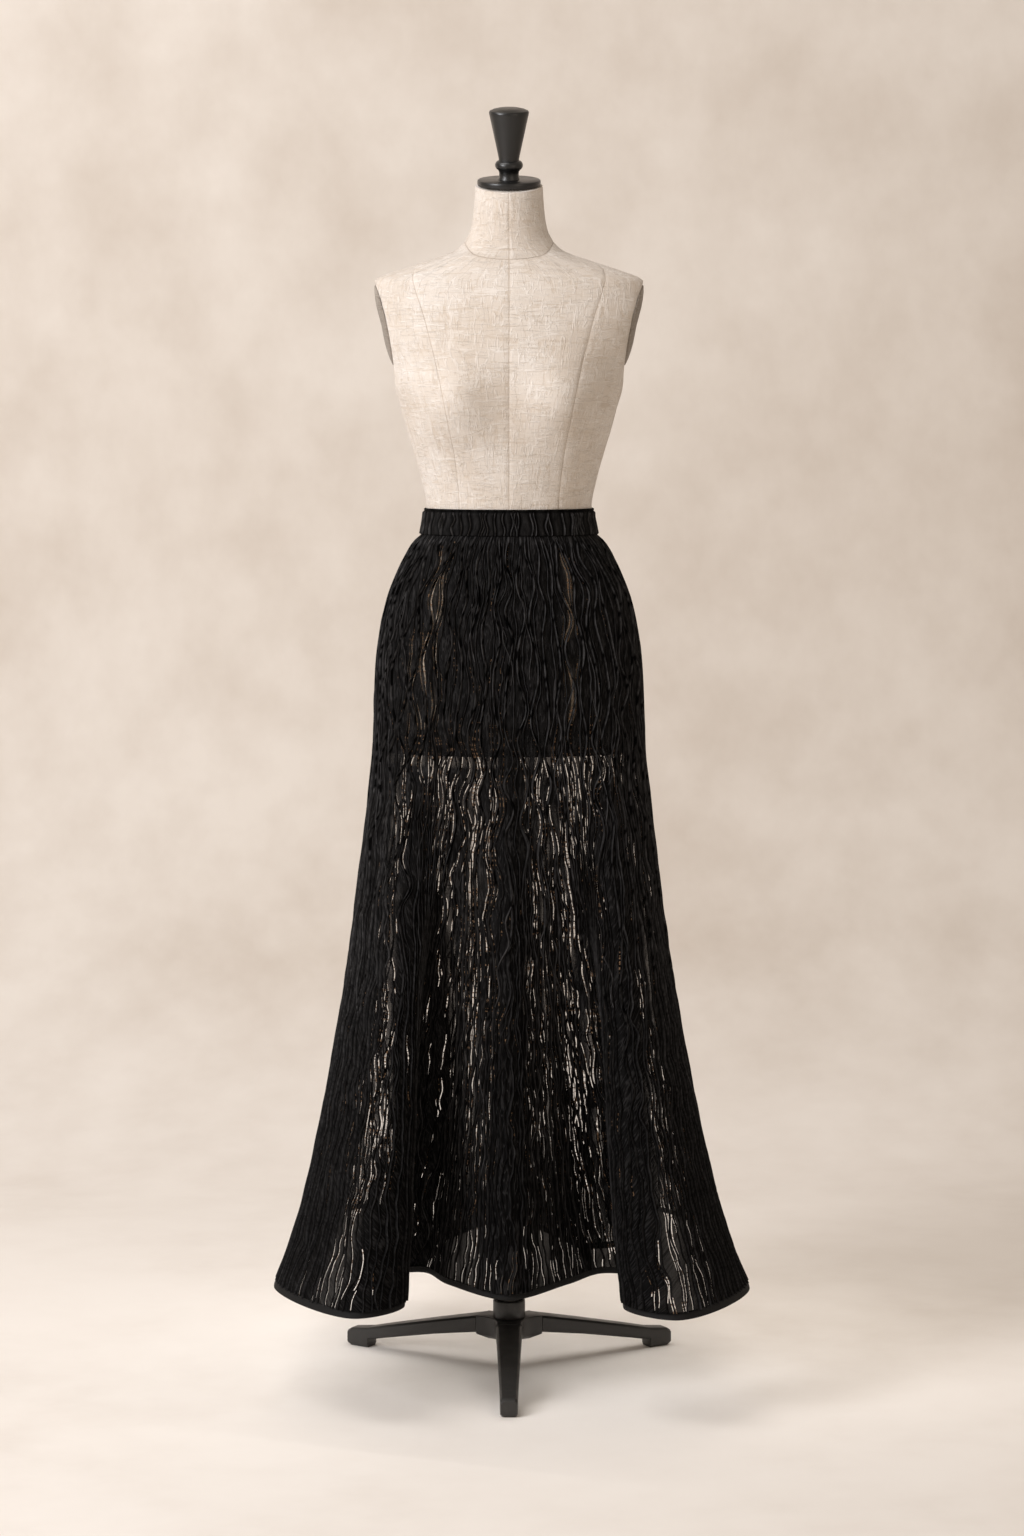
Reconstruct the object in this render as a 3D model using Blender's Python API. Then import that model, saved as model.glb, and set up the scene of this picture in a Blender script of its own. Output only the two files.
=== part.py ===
"""A flared floor-length lace skirt on a limbless dress form with a three-legged stand.

Units are metres and +Z is up. The origin is on the floor under the pole, the viewer's side is -Y and the
viewer's right is +X. Every piece of cloth, of the form and of the stand is one closed solid of its own.
"""

import math
from collections import namedtuple

import bmesh
import bpy
import numpy as np
from mathutils import Matrix, Vector

# ---------------------------------------------------------------- driving dimensions

SEAM_GAP = 0.0003  # between pieces that touch on the real thing
LACE_WALL = 0.0015
CORD_RELIEF = 0.0011  # the raised cords of the lace, on its outer face only
LINING_WALL = 0.0010
BAND_WALL = 0.0031  # two layers of lace over elastic
BINDING_WALL = 0.0032
BINDING_DEPTH = 0.0090

BAND_TOP = 1.2400
BAND_BOTTOM = 1.2020
LINING_HEM = 0.8970
SKIRT_HEM = 0.1550  # the lower edge of the binding
FORM_BOTTOM = 0.9300
NECK_TOP = 1.6900  # the height of the neck's top on the form's axis
NECK_LEAN = math.radians(11.0)  # the neck leans forward, and its disc and finial with it

POLE_RADIUS = 0.0160
COLLAR_RADIUS = 0.0231
COLLAR_TOP = 0.1000
COLLAR_EDGE = 0.0012
HUB_TOP = 0.0740
HUB_BOTTOM = 0.0470
HUB_REACH = 0.0450
HUB_WAIST = 0.0270  # the hub's radius half way between two arms
HUB_UNDER_SCALE = 0.62
HUB_UNDER_DROP = 0.0060
HUB_CURVE_STEPS = 6
LEG_ANGLES = {"leg_front": 270.0, "leg_right": 30.0, "leg_left": 150.0}

PANEL_COLUMNS = 48
PANEL_ROWS = 18
TUBE_COLUMNS = 48
FORM_COLUMNS = 40
ROUND_COLUMNS = 28

# The skirt from the band to the hem: the half width and half depth of its smooth oval section, and the
# share of the way that the section has gone from that oval to the fluted plan of the hem.
SkirtRow = namedtuple("SkirtRow", "z half_width half_depth fluting")
SKIRT = [
    SkirtRow(1.2017, 0.1254, 0.0895, 0.0),
    SkirtRow(1.1880, 0.1370, 0.0960, 0.0),
    SkirtRow(1.1660, 0.1490, 0.1020, 0.0),
    SkirtRow(1.1380, 0.1620, 0.1075, 0.0),
    SkirtRow(1.1100, 0.1720, 0.1115, 0.0),
    SkirtRow(1.0700, 0.1808, 0.1150, 0.0),
    SkirtRow(1.0250, 0.1870, 0.1180, 0.0),
    SkirtRow(0.9670, 0.1903, 0.1200, 0.0),
    SkirtRow(0.9000, 0.1920, 0.1220, 0.004),
    SkirtRow(0.8250, 0.1945, 0.1240, 0.050),
    SkirtRow(0.7390, 0.1945, 0.1240, 0.135),
    SkirtRow(0.6230, 0.1945, 0.1240, 0.250),
    SkirtRow(0.5080, 0.1945, 0.1240, 0.385),
    SkirtRow(0.3910, 0.1945, 0.1240, 0.535),
    SkirtRow(0.2750, 0.1945, 0.1240, 0.715),
    SkirtRow(0.2000, 0.1945, 0.1240, 0.875),
    SkirtRow(0.1550, 0.1945, 0.1240, 1.0),
]
HIP = SKIRT[7]

# The hem seen from above, from the left side seam round the front to the right one and back behind.
# A crest is the outermost point of a flute, a turn is where its wall doubles back, a valley is between two.
HemPoint = namedtuple("HemPoint", "place x y")
HEM = [
    HemPoint("left seam", -0.306, 0.010),
    HemPoint("left flute, outer side", -0.326, -0.172),
    HemPoint("left flute, crest", -0.210, -0.334),
    HemPoint("left flute, inner turn", -0.144, -0.272),
    HemPoint("left flute, neck", -0.205, -0.118),
    HemPoint("left valley", -0.125, -0.066),
    HemPoint("centre flute, left side", -0.086, -0.140),
    HemPoint("centre flute, crest", 0.000, -0.231),
    HemPoint("centre flute, right side", 0.084, -0.138),
    HemPoint("right valley", 0.137, -0.072),
    HemPoint("right flute, neck", 0.218, -0.124),
    HemPoint("right flute, inner turn", 0.158, -0.283),
    HemPoint("right flute, crest", 0.229, -0.343),
    HemPoint("right flute, outer side", 0.334, -0.182),
    HemPoint("right seam", 0.306, 0.014),
    HemPoint("right back flute, outer side", 0.303, 0.170),
    HemPoint("right back flute, crest", 0.222, 0.330),
    HemPoint("right back flute, inner turn", 0.150, 0.258),
    HemPoint("right back flute, neck", 0.190, 0.122),
    HemPoint("right back valley", 0.110, 0.080),
    HemPoint("centre back flute, right side", 0.070, 0.160),
    HemPoint("centre back flute, crest", -0.008, 0.262),
    HemPoint("centre back flute, left side", -0.082, 0.156),
    HemPoint("left back valley", -0.128, 0.078),
    HemPoint("left back flute, neck", -0.204, 0.124),
    HemPoint("left back flute, inner turn", -0.158, 0.274),
    HemPoint("left back flute, crest", -0.222, 0.3497),
    HemPoint("left back flute, outer side", -0.302, 0.190),
]

# The form: half width, depth in front and behind, how far the round section would pass the flat arm
# plate, the height of the bust over the ribs, and the forward slope of the section.
FormRow = namedtuple("FormRow", "z half_width front back arm_cut bust slope")
FORM = [
    FormRow(0.9300, 0.1640, 0.1010, 0.1030, 1.00, 0.0, 0.0),
    FormRow(0.9750, 0.1700, 0.1040, 0.1070, 1.00, 0.0, 0.0),
    FormRow(1.0200, 0.1705, 0.1035, 0.1065, 1.00, 0.0, 0.0),
    FormRow(1.0700, 0.1640, 0.1010, 0.1020, 1.00, 0.0, 0.0),
    FormRow(1.1150, 0.1510, 0.0970, 0.0970, 1.00, 0.0, 0.0),
    FormRow(1.1600, 0.1350, 0.0910, 0.0910, 1.00, 0.0, 0.0),
    FormRow(1.2020, 0.1220, 0.0858, 0.0858, 1.00, 0.0, 0.0),
    FormRow(1.2400, 0.1166, 0.0835, 0.0835, 1.00, 0.0, 0.0),
    FormRow(1.2820, 0.1242, 0.0880, 0.0850, 1.00, 0.0, 0.0),
    FormRow(1.3160, 0.1333, 0.0930, 0.0880, 1.01, 0.15, 0.0),
    FormRow(1.3490, 0.1431, 0.0980, 0.0920, 1.02, 0.60, 0.0),
    FormRow(1.3830, 0.1521, 0.1020, 0.0955, 1.03, 1.00, 0.0),
    FormRow(1.4100, 0.1593, 0.1040, 0.0985, 1.05, 0.85, 0.0),
    FormRow(1.4380, 0.1610, 0.1030, 0.1010, 1.08, 0.45, 0.0),
    FormRow(1.4720, 0.1655, 0.0970, 0.1020, 1.13, 0.12, 0.0),
    FormRow(1.5050, 0.1722, 0.0870, 0.1000, 1.13, 0.0, 0.0),
    FormRow(1.5380, 0.1815, 0.0740, 0.0930, 1.08, 0.0, 0.0),
    FormRow(1.5590, 0.1880, 0.0640, 0.0860, 1.02, 0.0, 0.0),
    FormRow(1.5660, 0.1740, 0.0600, 0.0820, 1.00, 0.0, 0.0),
    FormRow(1.5760, 0.1450, 0.0560, 0.0770, 1.00, 0.0, 0.0),
    FormRow(1.5880, 0.1080, 0.0530, 0.0700, 1.00, 0.0, 0.0),
    FormRow(1.5990, 0.0775, 0.0510, 0.0630, 1.00, 0.0, 0.03),
    FormRow(1.6110, 0.0632, 0.0500, 0.0560, 1.00, 0.0, 0.07),
    FormRow(1.6290, 0.0540, 0.0490, 0.0510, 1.00, 0.0, 0.12),
    FormRow(1.6510, 0.0500, 0.0490, 0.0490, 1.00, 0.0, 0.16),
    FormRow(1.6900, 0.0470, 0.0480, 0.0480, 1.00, 0.0, math.tan(NECK_LEAN)),
]
BUST_HEIGHT = 0.0260
BUST_SPREAD = 0.0500
BUST_SPACING = 0.0800
BUST_SIDES = 1.6  # how near to the form's sides the bust keeps its full height

PLATE_CENTRE = 1.4960
PLATE_HALF_HEIGHT = 0.0560
PLATE_HALF_DEPTH = 0.0400
PLATE_SEAT = 0.0004  # between the plate's flat back and the form
PLATE_COLUMNS = 24
PLATE_DOME = [(1.0, 0.0), (1.0, 0.0016), (0.82, 0.0042), (0.45, 0.0065)]  # share of its size, and height

# The turned pieces, as radius and height over the neck's top.
DISC_PROFILE = [
    (0.0, 0.0),
    (0.0425, 0.0),
    (0.0444, 0.0015),
    (0.0444, 0.0070),
    (0.0430, 0.0085),
    (0.0, 0.0085),
]
FINIAL_PROFILE = [
    (0.0, 0.0088),
    (0.0150, 0.0088),
    (0.0138, 0.0130),
    (0.0142, 0.0200),
    (0.0180, 0.0240),
    (0.0196, 0.0285),
    (0.0180, 0.0330),
    (0.0142, 0.0352),
    (0.0152, 0.0420),
    (0.0270, 0.0965),
    (0.0279, 0.1010),
    (0.0268, 0.1040),
    (0.0150, 0.1078),
    (0.0, 0.1090),
]

# One leg, from the hub to the tip of its foot.
LegRow = namedtuple("LegRow", "reach top bottom width")
LEG = [
    LegRow(HUB_REACH + SEAM_GAP, 0.0735, 0.0490, 0.0370),
    LegRow(0.1200, 0.0570, 0.0360, 0.0322),
    LegRow(0.2000, 0.0384, 0.0195, 0.0272),
    LegRow(0.2340, 0.0300, 0.0120, 0.0256),
    LegRow(0.2345, 0.0299, 0.0, 0.0256),
    LegRow(0.2640, 0.0262, 0.0, 0.0244),
    LegRow(0.2700, 0.0225, 0.0030, 0.0226),
]
LEG_CHAMFER = 0.0030


# ---------------------------------------------------------------- reading the tables


def clear_scene():
    for obj in list(bpy.data.objects):
        bpy.data.objects.remove(obj)


def read(table, column, z):
    """The value of a column at height z, along a smooth curve through the rows that never overshoots."""
    rows = sorted(table, key=lambda row: row.z)
    heights = [row.z for row in rows]
    values = [getattr(row, column) for row in rows]
    z = min(max(z, heights[0]), heights[-1])
    k = min(max(int(np.searchsorted(heights, z)) - 1, 0), len(rows) - 2)
    slopes = [(values[i + 1] - values[i]) / (heights[i + 1] - heights[i]) for i in range(len(rows) - 1)]

    def tangent(i):
        if i in (0, len(rows) - 1):
            return slopes[min(i, len(slopes) - 1)]
        before, after = slopes[i - 1], slopes[i]
        return 0.0 if before * after <= 0 else 2 * before * after / (before + after)

    span = heights[k + 1] - heights[k]
    t = (z - heights[k]) / span
    return (
        (2 * t**3 - 3 * t**2 + 1) * values[k]
        + (t**3 - 2 * t**2 + t) * span * tangent(k)
        + (3 * t**2 - 2 * t**3) * values[k + 1]
        + (t**3 - t**2) * span * tangent(k + 1)
    )


class Ring:
    """A closed plan curve, read by the share of its length from the left seam round the front."""

    def __init__(self, points, right_seam):
        """right_seam is the index of the point that lies on the right side seam."""
        self.points = np.array(points)
        steps = np.linalg.norm(np.diff(self.points, axis=0), axis=1)
        self.length = np.concatenate([[0.0], np.cumsum(steps)])
        self.half = self.length[right_seam]

    def at(self, share):
        """share 0 to 0.5 is the front, left to right, and 0.5 to 1 the back, right to left."""
        share = share % 1.0
        if share < 0.5:
            run = share * 2 * self.half
        else:
            run = self.half + (share - 0.5) * 2 * (self.length[-1] - self.half)
        return np.array([np.interp(run, self.length, self.points[:, axis]) for axis in (0, 1)])


def smooth_closed(points, per_span=24):
    """A closed centripetal curve through the points, with per_span steps between each pair."""
    count = len(points)
    out = []
    for i in range(count):
        p0, p1, p2, p3 = (np.array(points[(i + k) % count]) for k in (-1, 0, 1, 2))
        t0 = 0.0
        t1 = t0 + math.sqrt(np.linalg.norm(p1 - p0))
        t2 = t1 + math.sqrt(np.linalg.norm(p2 - p1))
        t3 = t2 + math.sqrt(np.linalg.norm(p3 - p2))
        for step in range(per_span):
            t = t1 + (t2 - t1) * step / per_span
            a1 = (t1 - t) / (t1 - t0) * p0 + (t - t0) / (t1 - t0) * p1
            a2 = (t2 - t) / (t2 - t1) * p1 + (t - t1) / (t2 - t1) * p2
            a3 = (t3 - t) / (t3 - t2) * p2 + (t - t2) / (t3 - t2) * p3
            b1 = (t2 - t) / (t2 - t0) * a1 + (t - t0) / (t2 - t0) * a2
            b2 = (t3 - t) / (t3 - t1) * a2 + (t - t1) / (t3 - t1) * a3
            out.append((t2 - t) / (t2 - t1) * b1 + (t - t1) / (t2 - t1) * b2)
    out.append(out[0])
    return out


def hip_oval(steps=720):
    """The skirt's oval section at the full hip, from the left seam round the front."""
    turns = [math.pi + math.tau * k / steps for k in range(steps + 1)]
    return Ring([(HIP.half_width * math.cos(t), HIP.half_depth * math.sin(t)) for t in turns], steps // 2)


HEM_SPAN_STEPS = 24
HEM_RING = Ring(
    smooth_closed([(p.x, p.y) for p in HEM], HEM_SPAN_STEPS),
    HEM_SPAN_STEPS * [p.place for p in HEM].index("right seam"),
)
HIP_RING = hip_oval()


def oval_point(share, half_width, half_depth):
    """A point of an oval of that size, at the same share of the girth as on the hip's oval."""
    return HIP_RING.at(share) / (HIP.half_width, HIP.half_depth) * (half_width, half_depth)


def skirt_point(share, z):
    """A point of the skirt's outer face: the oval over the hips, turning into the flutes of the hem."""
    oval = oval_point(share, read(SKIRT, "half_width", z), read(SKIRT, "half_depth", z))
    fluting = read(SKIRT, "fluting", z)
    x, y = oval + fluting * (HEM_RING.at(share) - oval)
    return Vector((x, y, z))


# ---------------------------------------------------------------- making solids


def finish(name, bm, material, smooth_angle=40.0):
    """Turns the bmesh into an object of that name, with its faces outwards and its material."""
    bmesh.ops.recalc_face_normals(bm, faces=bm.faces)
    mesh = bpy.data.meshes.new(name)
    bm.to_mesh(mesh)
    bm.free()
    mesh.shade_smooth()
    mesh.set_sharp_from_angle(angle=math.radians(smooth_angle))
    mesh.materials.append(material)
    obj = bpy.data.objects.new(name, mesh)
    bpy.context.scene.collection.objects.link(obj)
    return obj


def painted(name, colour, roughness, metallic=0.0):
    material = bpy.data.materials.new(name)
    material.use_nodes = True
    shader = material.node_tree.nodes["Principled BSDF"]
    shader.inputs["Base Color"].default_value = (*colour, 1.0)
    shader.inputs["Roughness"].default_value = roughness
    shader.inputs["Metallic"].default_value = metallic
    return material


def flat_grid(columns, rows):
    """A grid of faces with x and y from 0 to 1, to be bent into place. A vertex can carry a raised height."""
    bm = bmesh.new()
    bm.verts.layers.int.new("number")
    bm.verts.layers.float.new("raised")
    bmesh.ops.create_grid(bm, x_segments=columns, y_segments=rows, size=0.5)
    bmesh.ops.translate(bm, verts=bm.verts, vec=(0.5, 0.5, 0.0))
    return bm


def thicken(bm, wall, proud=0.0):
    """Makes a closed wall of an open upright sheet, level at its edges: the sheet is the outer face, or lies
    proud of it by that much, and the new inner face is plain."""
    bmesh.ops.recalc_face_normals(bm, faces=bm.faces)
    centre = sum((v.co.xy for v in bm.verts), Vector((0, 0))) / len(bm.verts)
    outward = sum((f.normal.xy.dot(f.calc_center_median().xy - centre) * f.calc_area() for f in bm.faces))
    if outward < 0:
        bmesh.ops.reverse_faces(bm, faces=bm.faces)
    bm.normal_update()
    number = bm.verts.layers.int["number"]
    raised = bm.verts.layers.float["raised"]
    outer = list(bm.verts)
    for index, vert in enumerate(outer):
        vert[number] = index
    normals = [Vector((*vert.normal.xy, 0.0)).normalized() for vert in outer]
    shell = bmesh.ops.extrude_face_region(bm, geom=bm.faces, use_keep_orig=True)
    for twin in shell["geom"]:
        if isinstance(twin, bmesh.types.BMVert):
            twin.co -= normals[twin[number]] * (wall - proud)
    for vert in outer:
        vert.co += normals[vert[number]] * (vert[raised] + proud)


def loft(rings):
    """A closed solid through rings of equally many points, from the first ring to the last."""
    bm = bmesh.new()
    bmesh.ops.create_circle(bm, cap_ends=True, radius=1.0, segments=len(rings[0]))
    base = cap = bm.faces[:][0]
    for vert, point in zip(cap.verts, rings[0]):
        vert.co = point
    for ring in rings[1:]:
        moved = bmesh.ops.extrude_face_region(bm, geom=[cap])["geom"]
        if cap is not base:
            bmesh.ops.delete(bm, geom=[cap], context="FACES_ONLY")
        cap = next(part for part in moved if isinstance(part, bmesh.types.BMFace))
        for vert, point in zip(cap.verts, ring):
            vert.co = point
    return bm


def turned(profile, segments=ROUND_COLUMNS):
    """A solid of revolution about Z from a profile of radius and height that starts and ends on the axis."""
    bm = bmesh.new()
    verts = [bm.verts.new((radius, 0.0, height)) for radius, height in profile]
    edges = [bm.edges.new(pair) for pair in zip(verts, verts[1:])]
    bmesh.ops.spin(
        bm,
        geom=verts + edges,
        cent=(0, 0, 0),
        axis=(0, 0, 1),
        angle=math.tau,
        steps=segments,
        use_merge=True,
        use_duplicate=False,
    )
    bmesh.ops.remove_doubles(bm, verts=bm.verts, dist=1e-6)
    return bm


# ---------------------------------------------------------------- the skirt

WANDER = 0.30  # how far a cord sways, as a share of the spacing of the grid's columns
WANDER_TURNS = 3.5  # down the skirt
WANDER_PHASE = 0.9  # from one column to the next, in radians
SLIT_HALF_WIDTH = 0.0030
SLIT_HALF_LENGTH = 0.0200
SLIT_TIP = (0.25, 1.0)  # a slit is a slanted lens: two opposite corners are its tips, as shares of its
SLIT_SHOULDER = (1.0, 0.45)  # half width and half length, and the other two are its shoulders
SLIT_TOP = 0.870
SLIT_BOTTOM = 0.185
ROW_CROWDING = 0.38  # the share of the rows' spacing that crowds them to the hip; the rest is even
ROW_POWER = 1.9
STEP = 0.001  # for measuring how fast a place moves with its share

LINING_CLEAR_TOP = 0.0004  # between the slip and the lace at the band
LINING_CLEAR = 0.0050  # and below it
LINING_EASE = 0.30  # the share of the slip's length over which it leaves the lace
LINING_EASE_POWER = 0.8
LINING_ROW_POWER = 1.25


def panel_height(down):
    """The height of the panel's rows, closer together where the hip curves."""
    eased = (1 - ROW_CROWDING) * down + ROW_CROWDING * down**ROW_POWER
    top = BAND_BOTTOM - SEAM_GAP
    bottom = SKIRT_HEM + BINDING_DEPTH + SEAM_GAP
    return top + (bottom - top) * eased


def girth_at(share, z):
    """The metres of cloth that one whole round of the share would cover at this pace."""
    return (skirt_point(share + STEP, z) - skirt_point(share, z)).length / STEP


def panel_share(first_share, across, z):
    """The share of the skirt's girth for a place across one panel, clear of the side seams."""
    start = first_share + SEAM_GAP / 2 / girth_at(first_share, z)
    end = first_share + 0.5 - SEAM_GAP / 2 / girth_at(first_share + 0.5, z)
    return start + across * (end - start)


def is_slit(column, row, z):
    """Which cells of the lace are open: between the cords, staggered down the cloth."""
    return column % 2 == 0 and (column // 2 + 2 * row) % 3 == 0 and SLIT_BOTTOM < z < SLIT_TOP


def skirt_panel(name, first_share, material):
    """Half of the skirt, seam to seam, with raised cords outside and slits cut through below the lining."""
    bm = flat_grid(PANEL_COLUMNS, PANEL_ROWS)
    raised = bm.verts.layers.float["raised"]
    for vert in bm.verts:
        column = round(vert.co.x * PANEL_COLUMNS)
        inside = 0 < column < PANEL_COLUMNS
        sway = math.sin(WANDER_TURNS * math.tau * vert.co.y + WANDER_PHASE * column)
        vert[raised] = CORD_RELIEF if column % 2 and inside else 0.0
        vert.co.x += WANDER * sway / PANEL_COLUMNS if inside else 0.0
    chosen = []
    for face in bm.faces:
        middle = face.calc_center_median()
        column = int(middle.x * PANEL_COLUMNS)
        row = int(middle.y * PANEL_ROWS)
        z = panel_height(middle.y)
        if is_slit(column, row, z) and 0 < column < PANEL_COLUMNS - 1:
            chosen.append(face)
    for face in chosen:
        middle = face.calc_center_median()
        z = panel_height(middle.y)
        panel_girth = girth_at(panel_share(first_share, middle.x, z), z) / 2
        panel_fall = (z - panel_height(middle.y + STEP)) / STEP
        half_size = Vector((SLIT_HALF_WIDTH / panel_girth, SLIT_HALF_LENGTH / panel_fall))
        bmesh.ops.inset_individual(bm, faces=[face], thickness=STEP)
        for vert in face.verts:
            side = 1.0 if vert.co.x > middle.x else -1.0
            level = 1.0 if vert.co.y > middle.y else -1.0
            corner = SLIT_TIP if side == level else SLIT_SHOULDER
            vert.co.x = middle.x + side * half_size.x * corner[0]
            vert.co.y = middle.y + level * half_size.y * corner[1]
            vert[raised] = 0.0
    bmesh.ops.delete(bm, geom=chosen, context="FACES_ONLY")
    for vert in bm.verts:
        z = panel_height(vert.co.y)
        vert.co = skirt_point(panel_share(first_share, vert.co.x, z), z)
    thicken(bm, LACE_WALL)
    return finish(name, bm, material)


def tube(name, columns, rows, place, wall, material):
    """A closed wall all round: place maps the share round and the share down to a point of the outer face."""
    bm = flat_grid(columns, rows)
    for vert in bm.verts:
        vert.co = place(vert.co.x, vert.co.y)
    bmesh.ops.remove_doubles(bm, verts=bm.verts, dist=1e-6)
    thicken(bm, wall)
    return finish(name, bm, material)


def lining_point(share, down):
    """The slip hangs from inside the band, a little way in from the lace."""
    z = BAND_BOTTOM - SEAM_GAP + (LINING_HEM - BAND_BOTTOM + SEAM_GAP) * down**LINING_ROW_POWER
    eased = min(down / LINING_EASE, 1.0) ** LINING_EASE_POWER
    clear = LACE_WALL + LINING_CLEAR_TOP + (LINING_CLEAR - LINING_CLEAR_TOP) * eased
    half_width = read(SKIRT, "half_width", z) - clear
    half_depth = read(SKIRT, "half_depth", z) - clear
    x, y = oval_point(share, half_width, half_depth)
    return Vector((x, y, z))


def band_point(share, down):
    """The band's outer face, its wall and a seam gap outside the form's waist."""
    z = BAND_TOP + (BAND_BOTTOM - BAND_TOP) * down
    out = BAND_WALL + SEAM_GAP
    x, y = oval_point(share, read(FORM, "half_width", z) + out, read(FORM, "front", z) + out)
    return Vector((x, y, z))


def binding_point(share, down):
    """The binding carries the skirt on down to its lower edge."""
    return skirt_point(share, SKIRT_HEM + BINDING_DEPTH * (1 - down))


def hem_binding(material):
    """A narrow strip folded over the hem all round, a little thicker than the lace on both faces."""
    bm = flat_grid(2 * PANEL_COLUMNS, 1)
    for vert in bm.verts:
        vert.co = binding_point(vert.co.x, vert.co.y)
    bmesh.ops.remove_doubles(bm, verts=bm.verts, dist=1e-6)
    thicken(bm, BINDING_WALL, proud=(BINDING_WALL - LACE_WALL) / 2)
    return finish("hem_binding", bm, material)


# ---------------------------------------------------------------- the form


def form_point(turn, z):
    """A point of the form's surface at that turn about its axis, 0 at the right side and a quarter behind."""
    half_width = read(FORM, "half_width", z)
    deep = read(FORM, "back" if math.sin(turn) > 0 else "front", z)
    x = half_width * read(FORM, "arm_cut", z) * math.cos(turn)
    y = deep * math.sin(turn)
    if y < 0:
        swell = math.exp(-(((abs(x) - BUST_SPACING) / BUST_SPREAD) ** 2))
        y -= BUST_HEIGHT * read(FORM, "bust", z) * swell * min(-y / deep * BUST_SIDES, 1.0)
    x = min(max(x, -half_width), half_width)
    return Vector((x, y, z + y * read(FORM, "slope", z)))


def form_torso(material):
    turns = [math.tau * k / FORM_COLUMNS for k in range(FORM_COLUMNS)]
    rings = [[form_point(turn, row.z) for turn in turns] for row in FORM]
    return finish("form_torso", loft(rings), material, smooth_angle=50.0)


def arm_plate(name, side, material):
    """A low oval dome on the flat of the armhole."""
    middle = read(FORM, "half_width", PLATE_CENTRE)
    rings = []
    for scale, out in PLATE_DOME:
        ring = []
        for k in range(PLATE_COLUMNS):
            turn = math.tau * k / PLATE_COLUMNS
            rise = math.sin(turn) * PLATE_HALF_HEIGHT
            rim = read(FORM, "half_width", PLATE_CENTRE + rise)
            x = middle + (rim - middle) * scale + PLATE_SEAT + out
            y = math.cos(turn) * PLATE_HALF_DEPTH * scale
            ring.append(Vector((side * x, y, PLATE_CENTRE + rise * scale)))
        rings.append(ring)
    return finish(name, loft(rings), material)


def on_neck(bm):
    """Moves a turned piece from the origin to the neck's top, leaning with it."""
    lean = Matrix.Rotation(NECK_LEAN, 4, "X")
    place = Matrix.Translation((0, 0, NECK_TOP + SEAM_GAP))
    bmesh.ops.transform(bm, matrix=place @ lean, verts=bm.verts)
    return bm


# ---------------------------------------------------------------- the stand


def pole(material):
    top = FORM_BOTTOM - SEAM_GAP
    bottom = COLLAR_TOP + SEAM_GAP
    profile = [(0.0, bottom), (POLE_RADIUS, bottom), (POLE_RADIUS, top), (0.0, top)]
    return finish("pole", turned(profile), material)


def collar(material):
    bottom = HUB_TOP + SEAM_GAP
    profile = [
        (0.0, bottom),
        (COLLAR_RADIUS, bottom),
        (COLLAR_RADIUS, COLLAR_TOP - COLLAR_EDGE),
        (COLLAR_RADIUS - COLLAR_EDGE, COLLAR_TOP),
        (0.0, COLLAR_TOP),
    ]
    return finish("collar", turned(profile), material)


def hub(material):
    """The casting that the legs are bolted to: three short arms with hollow curves between them."""

    def ray(turn):
        return Vector((math.cos(turn), math.sin(turn)))

    def arm_end(turn, side):
        """The corner at an arm's end, -1 before the arm and 1 after it."""
        return ray(turn) * HUB_REACH + ray(turn + math.pi / 2) * side * LEG[0].width / 2

    outline = []
    for angle in sorted(LEG_ANGLES.values()):
        turn = math.radians(angle)
        end, next_start = arm_end(turn, 1), arm_end(turn + math.tau / 3, -1)
        outline += [arm_end(turn, -1), end]
        control = 2 * HUB_WAIST * ray(turn + math.tau / 6) - (end + next_start) / 2
        for step in range(1, HUB_CURVE_STEPS):
            t = step / HUB_CURVE_STEPS
            outline.append((1 - t) ** 2 * end + 2 * t * (1 - t) * control + t**2 * next_start)
    levels = [(1.0, HUB_TOP), (1.0, HUB_BOTTOM), (HUB_UNDER_SCALE, HUB_BOTTOM - HUB_UNDER_DROP)]
    rings = [[Vector((p.x * scale, p.y * scale, z)) for p in outline] for scale, z in levels]
    return finish("hub", loft(rings), material, smooth_angle=30.0)


def leg(name, angle, material):
    """A tapered beam with chamfered edges that drops to a flat foot at its tip."""
    turn = math.radians(angle)
    out = Vector((math.cos(turn), math.sin(turn), 0.0))
    side = Vector((-out.y, out.x, 0.0))
    rings = []
    for row in LEG:
        half = row.width / 2
        cut = LEG_CHAMFER
        section = [
            (half - cut, row.bottom),
            (half, row.bottom + cut),
            (half, row.top - cut),
            (half - cut, row.top),
            (cut - half, row.top),
            (-half, row.top - cut),
            (-half, row.bottom + cut),
            (cut - half, row.bottom),
        ]
        rings.append([out * row.reach + side * across + Vector((0, 0, up)) for across, up in section])
    return finish(name, loft(rings), material, smooth_angle=30.0)


# ---------------------------------------------------------------- assembly


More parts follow.
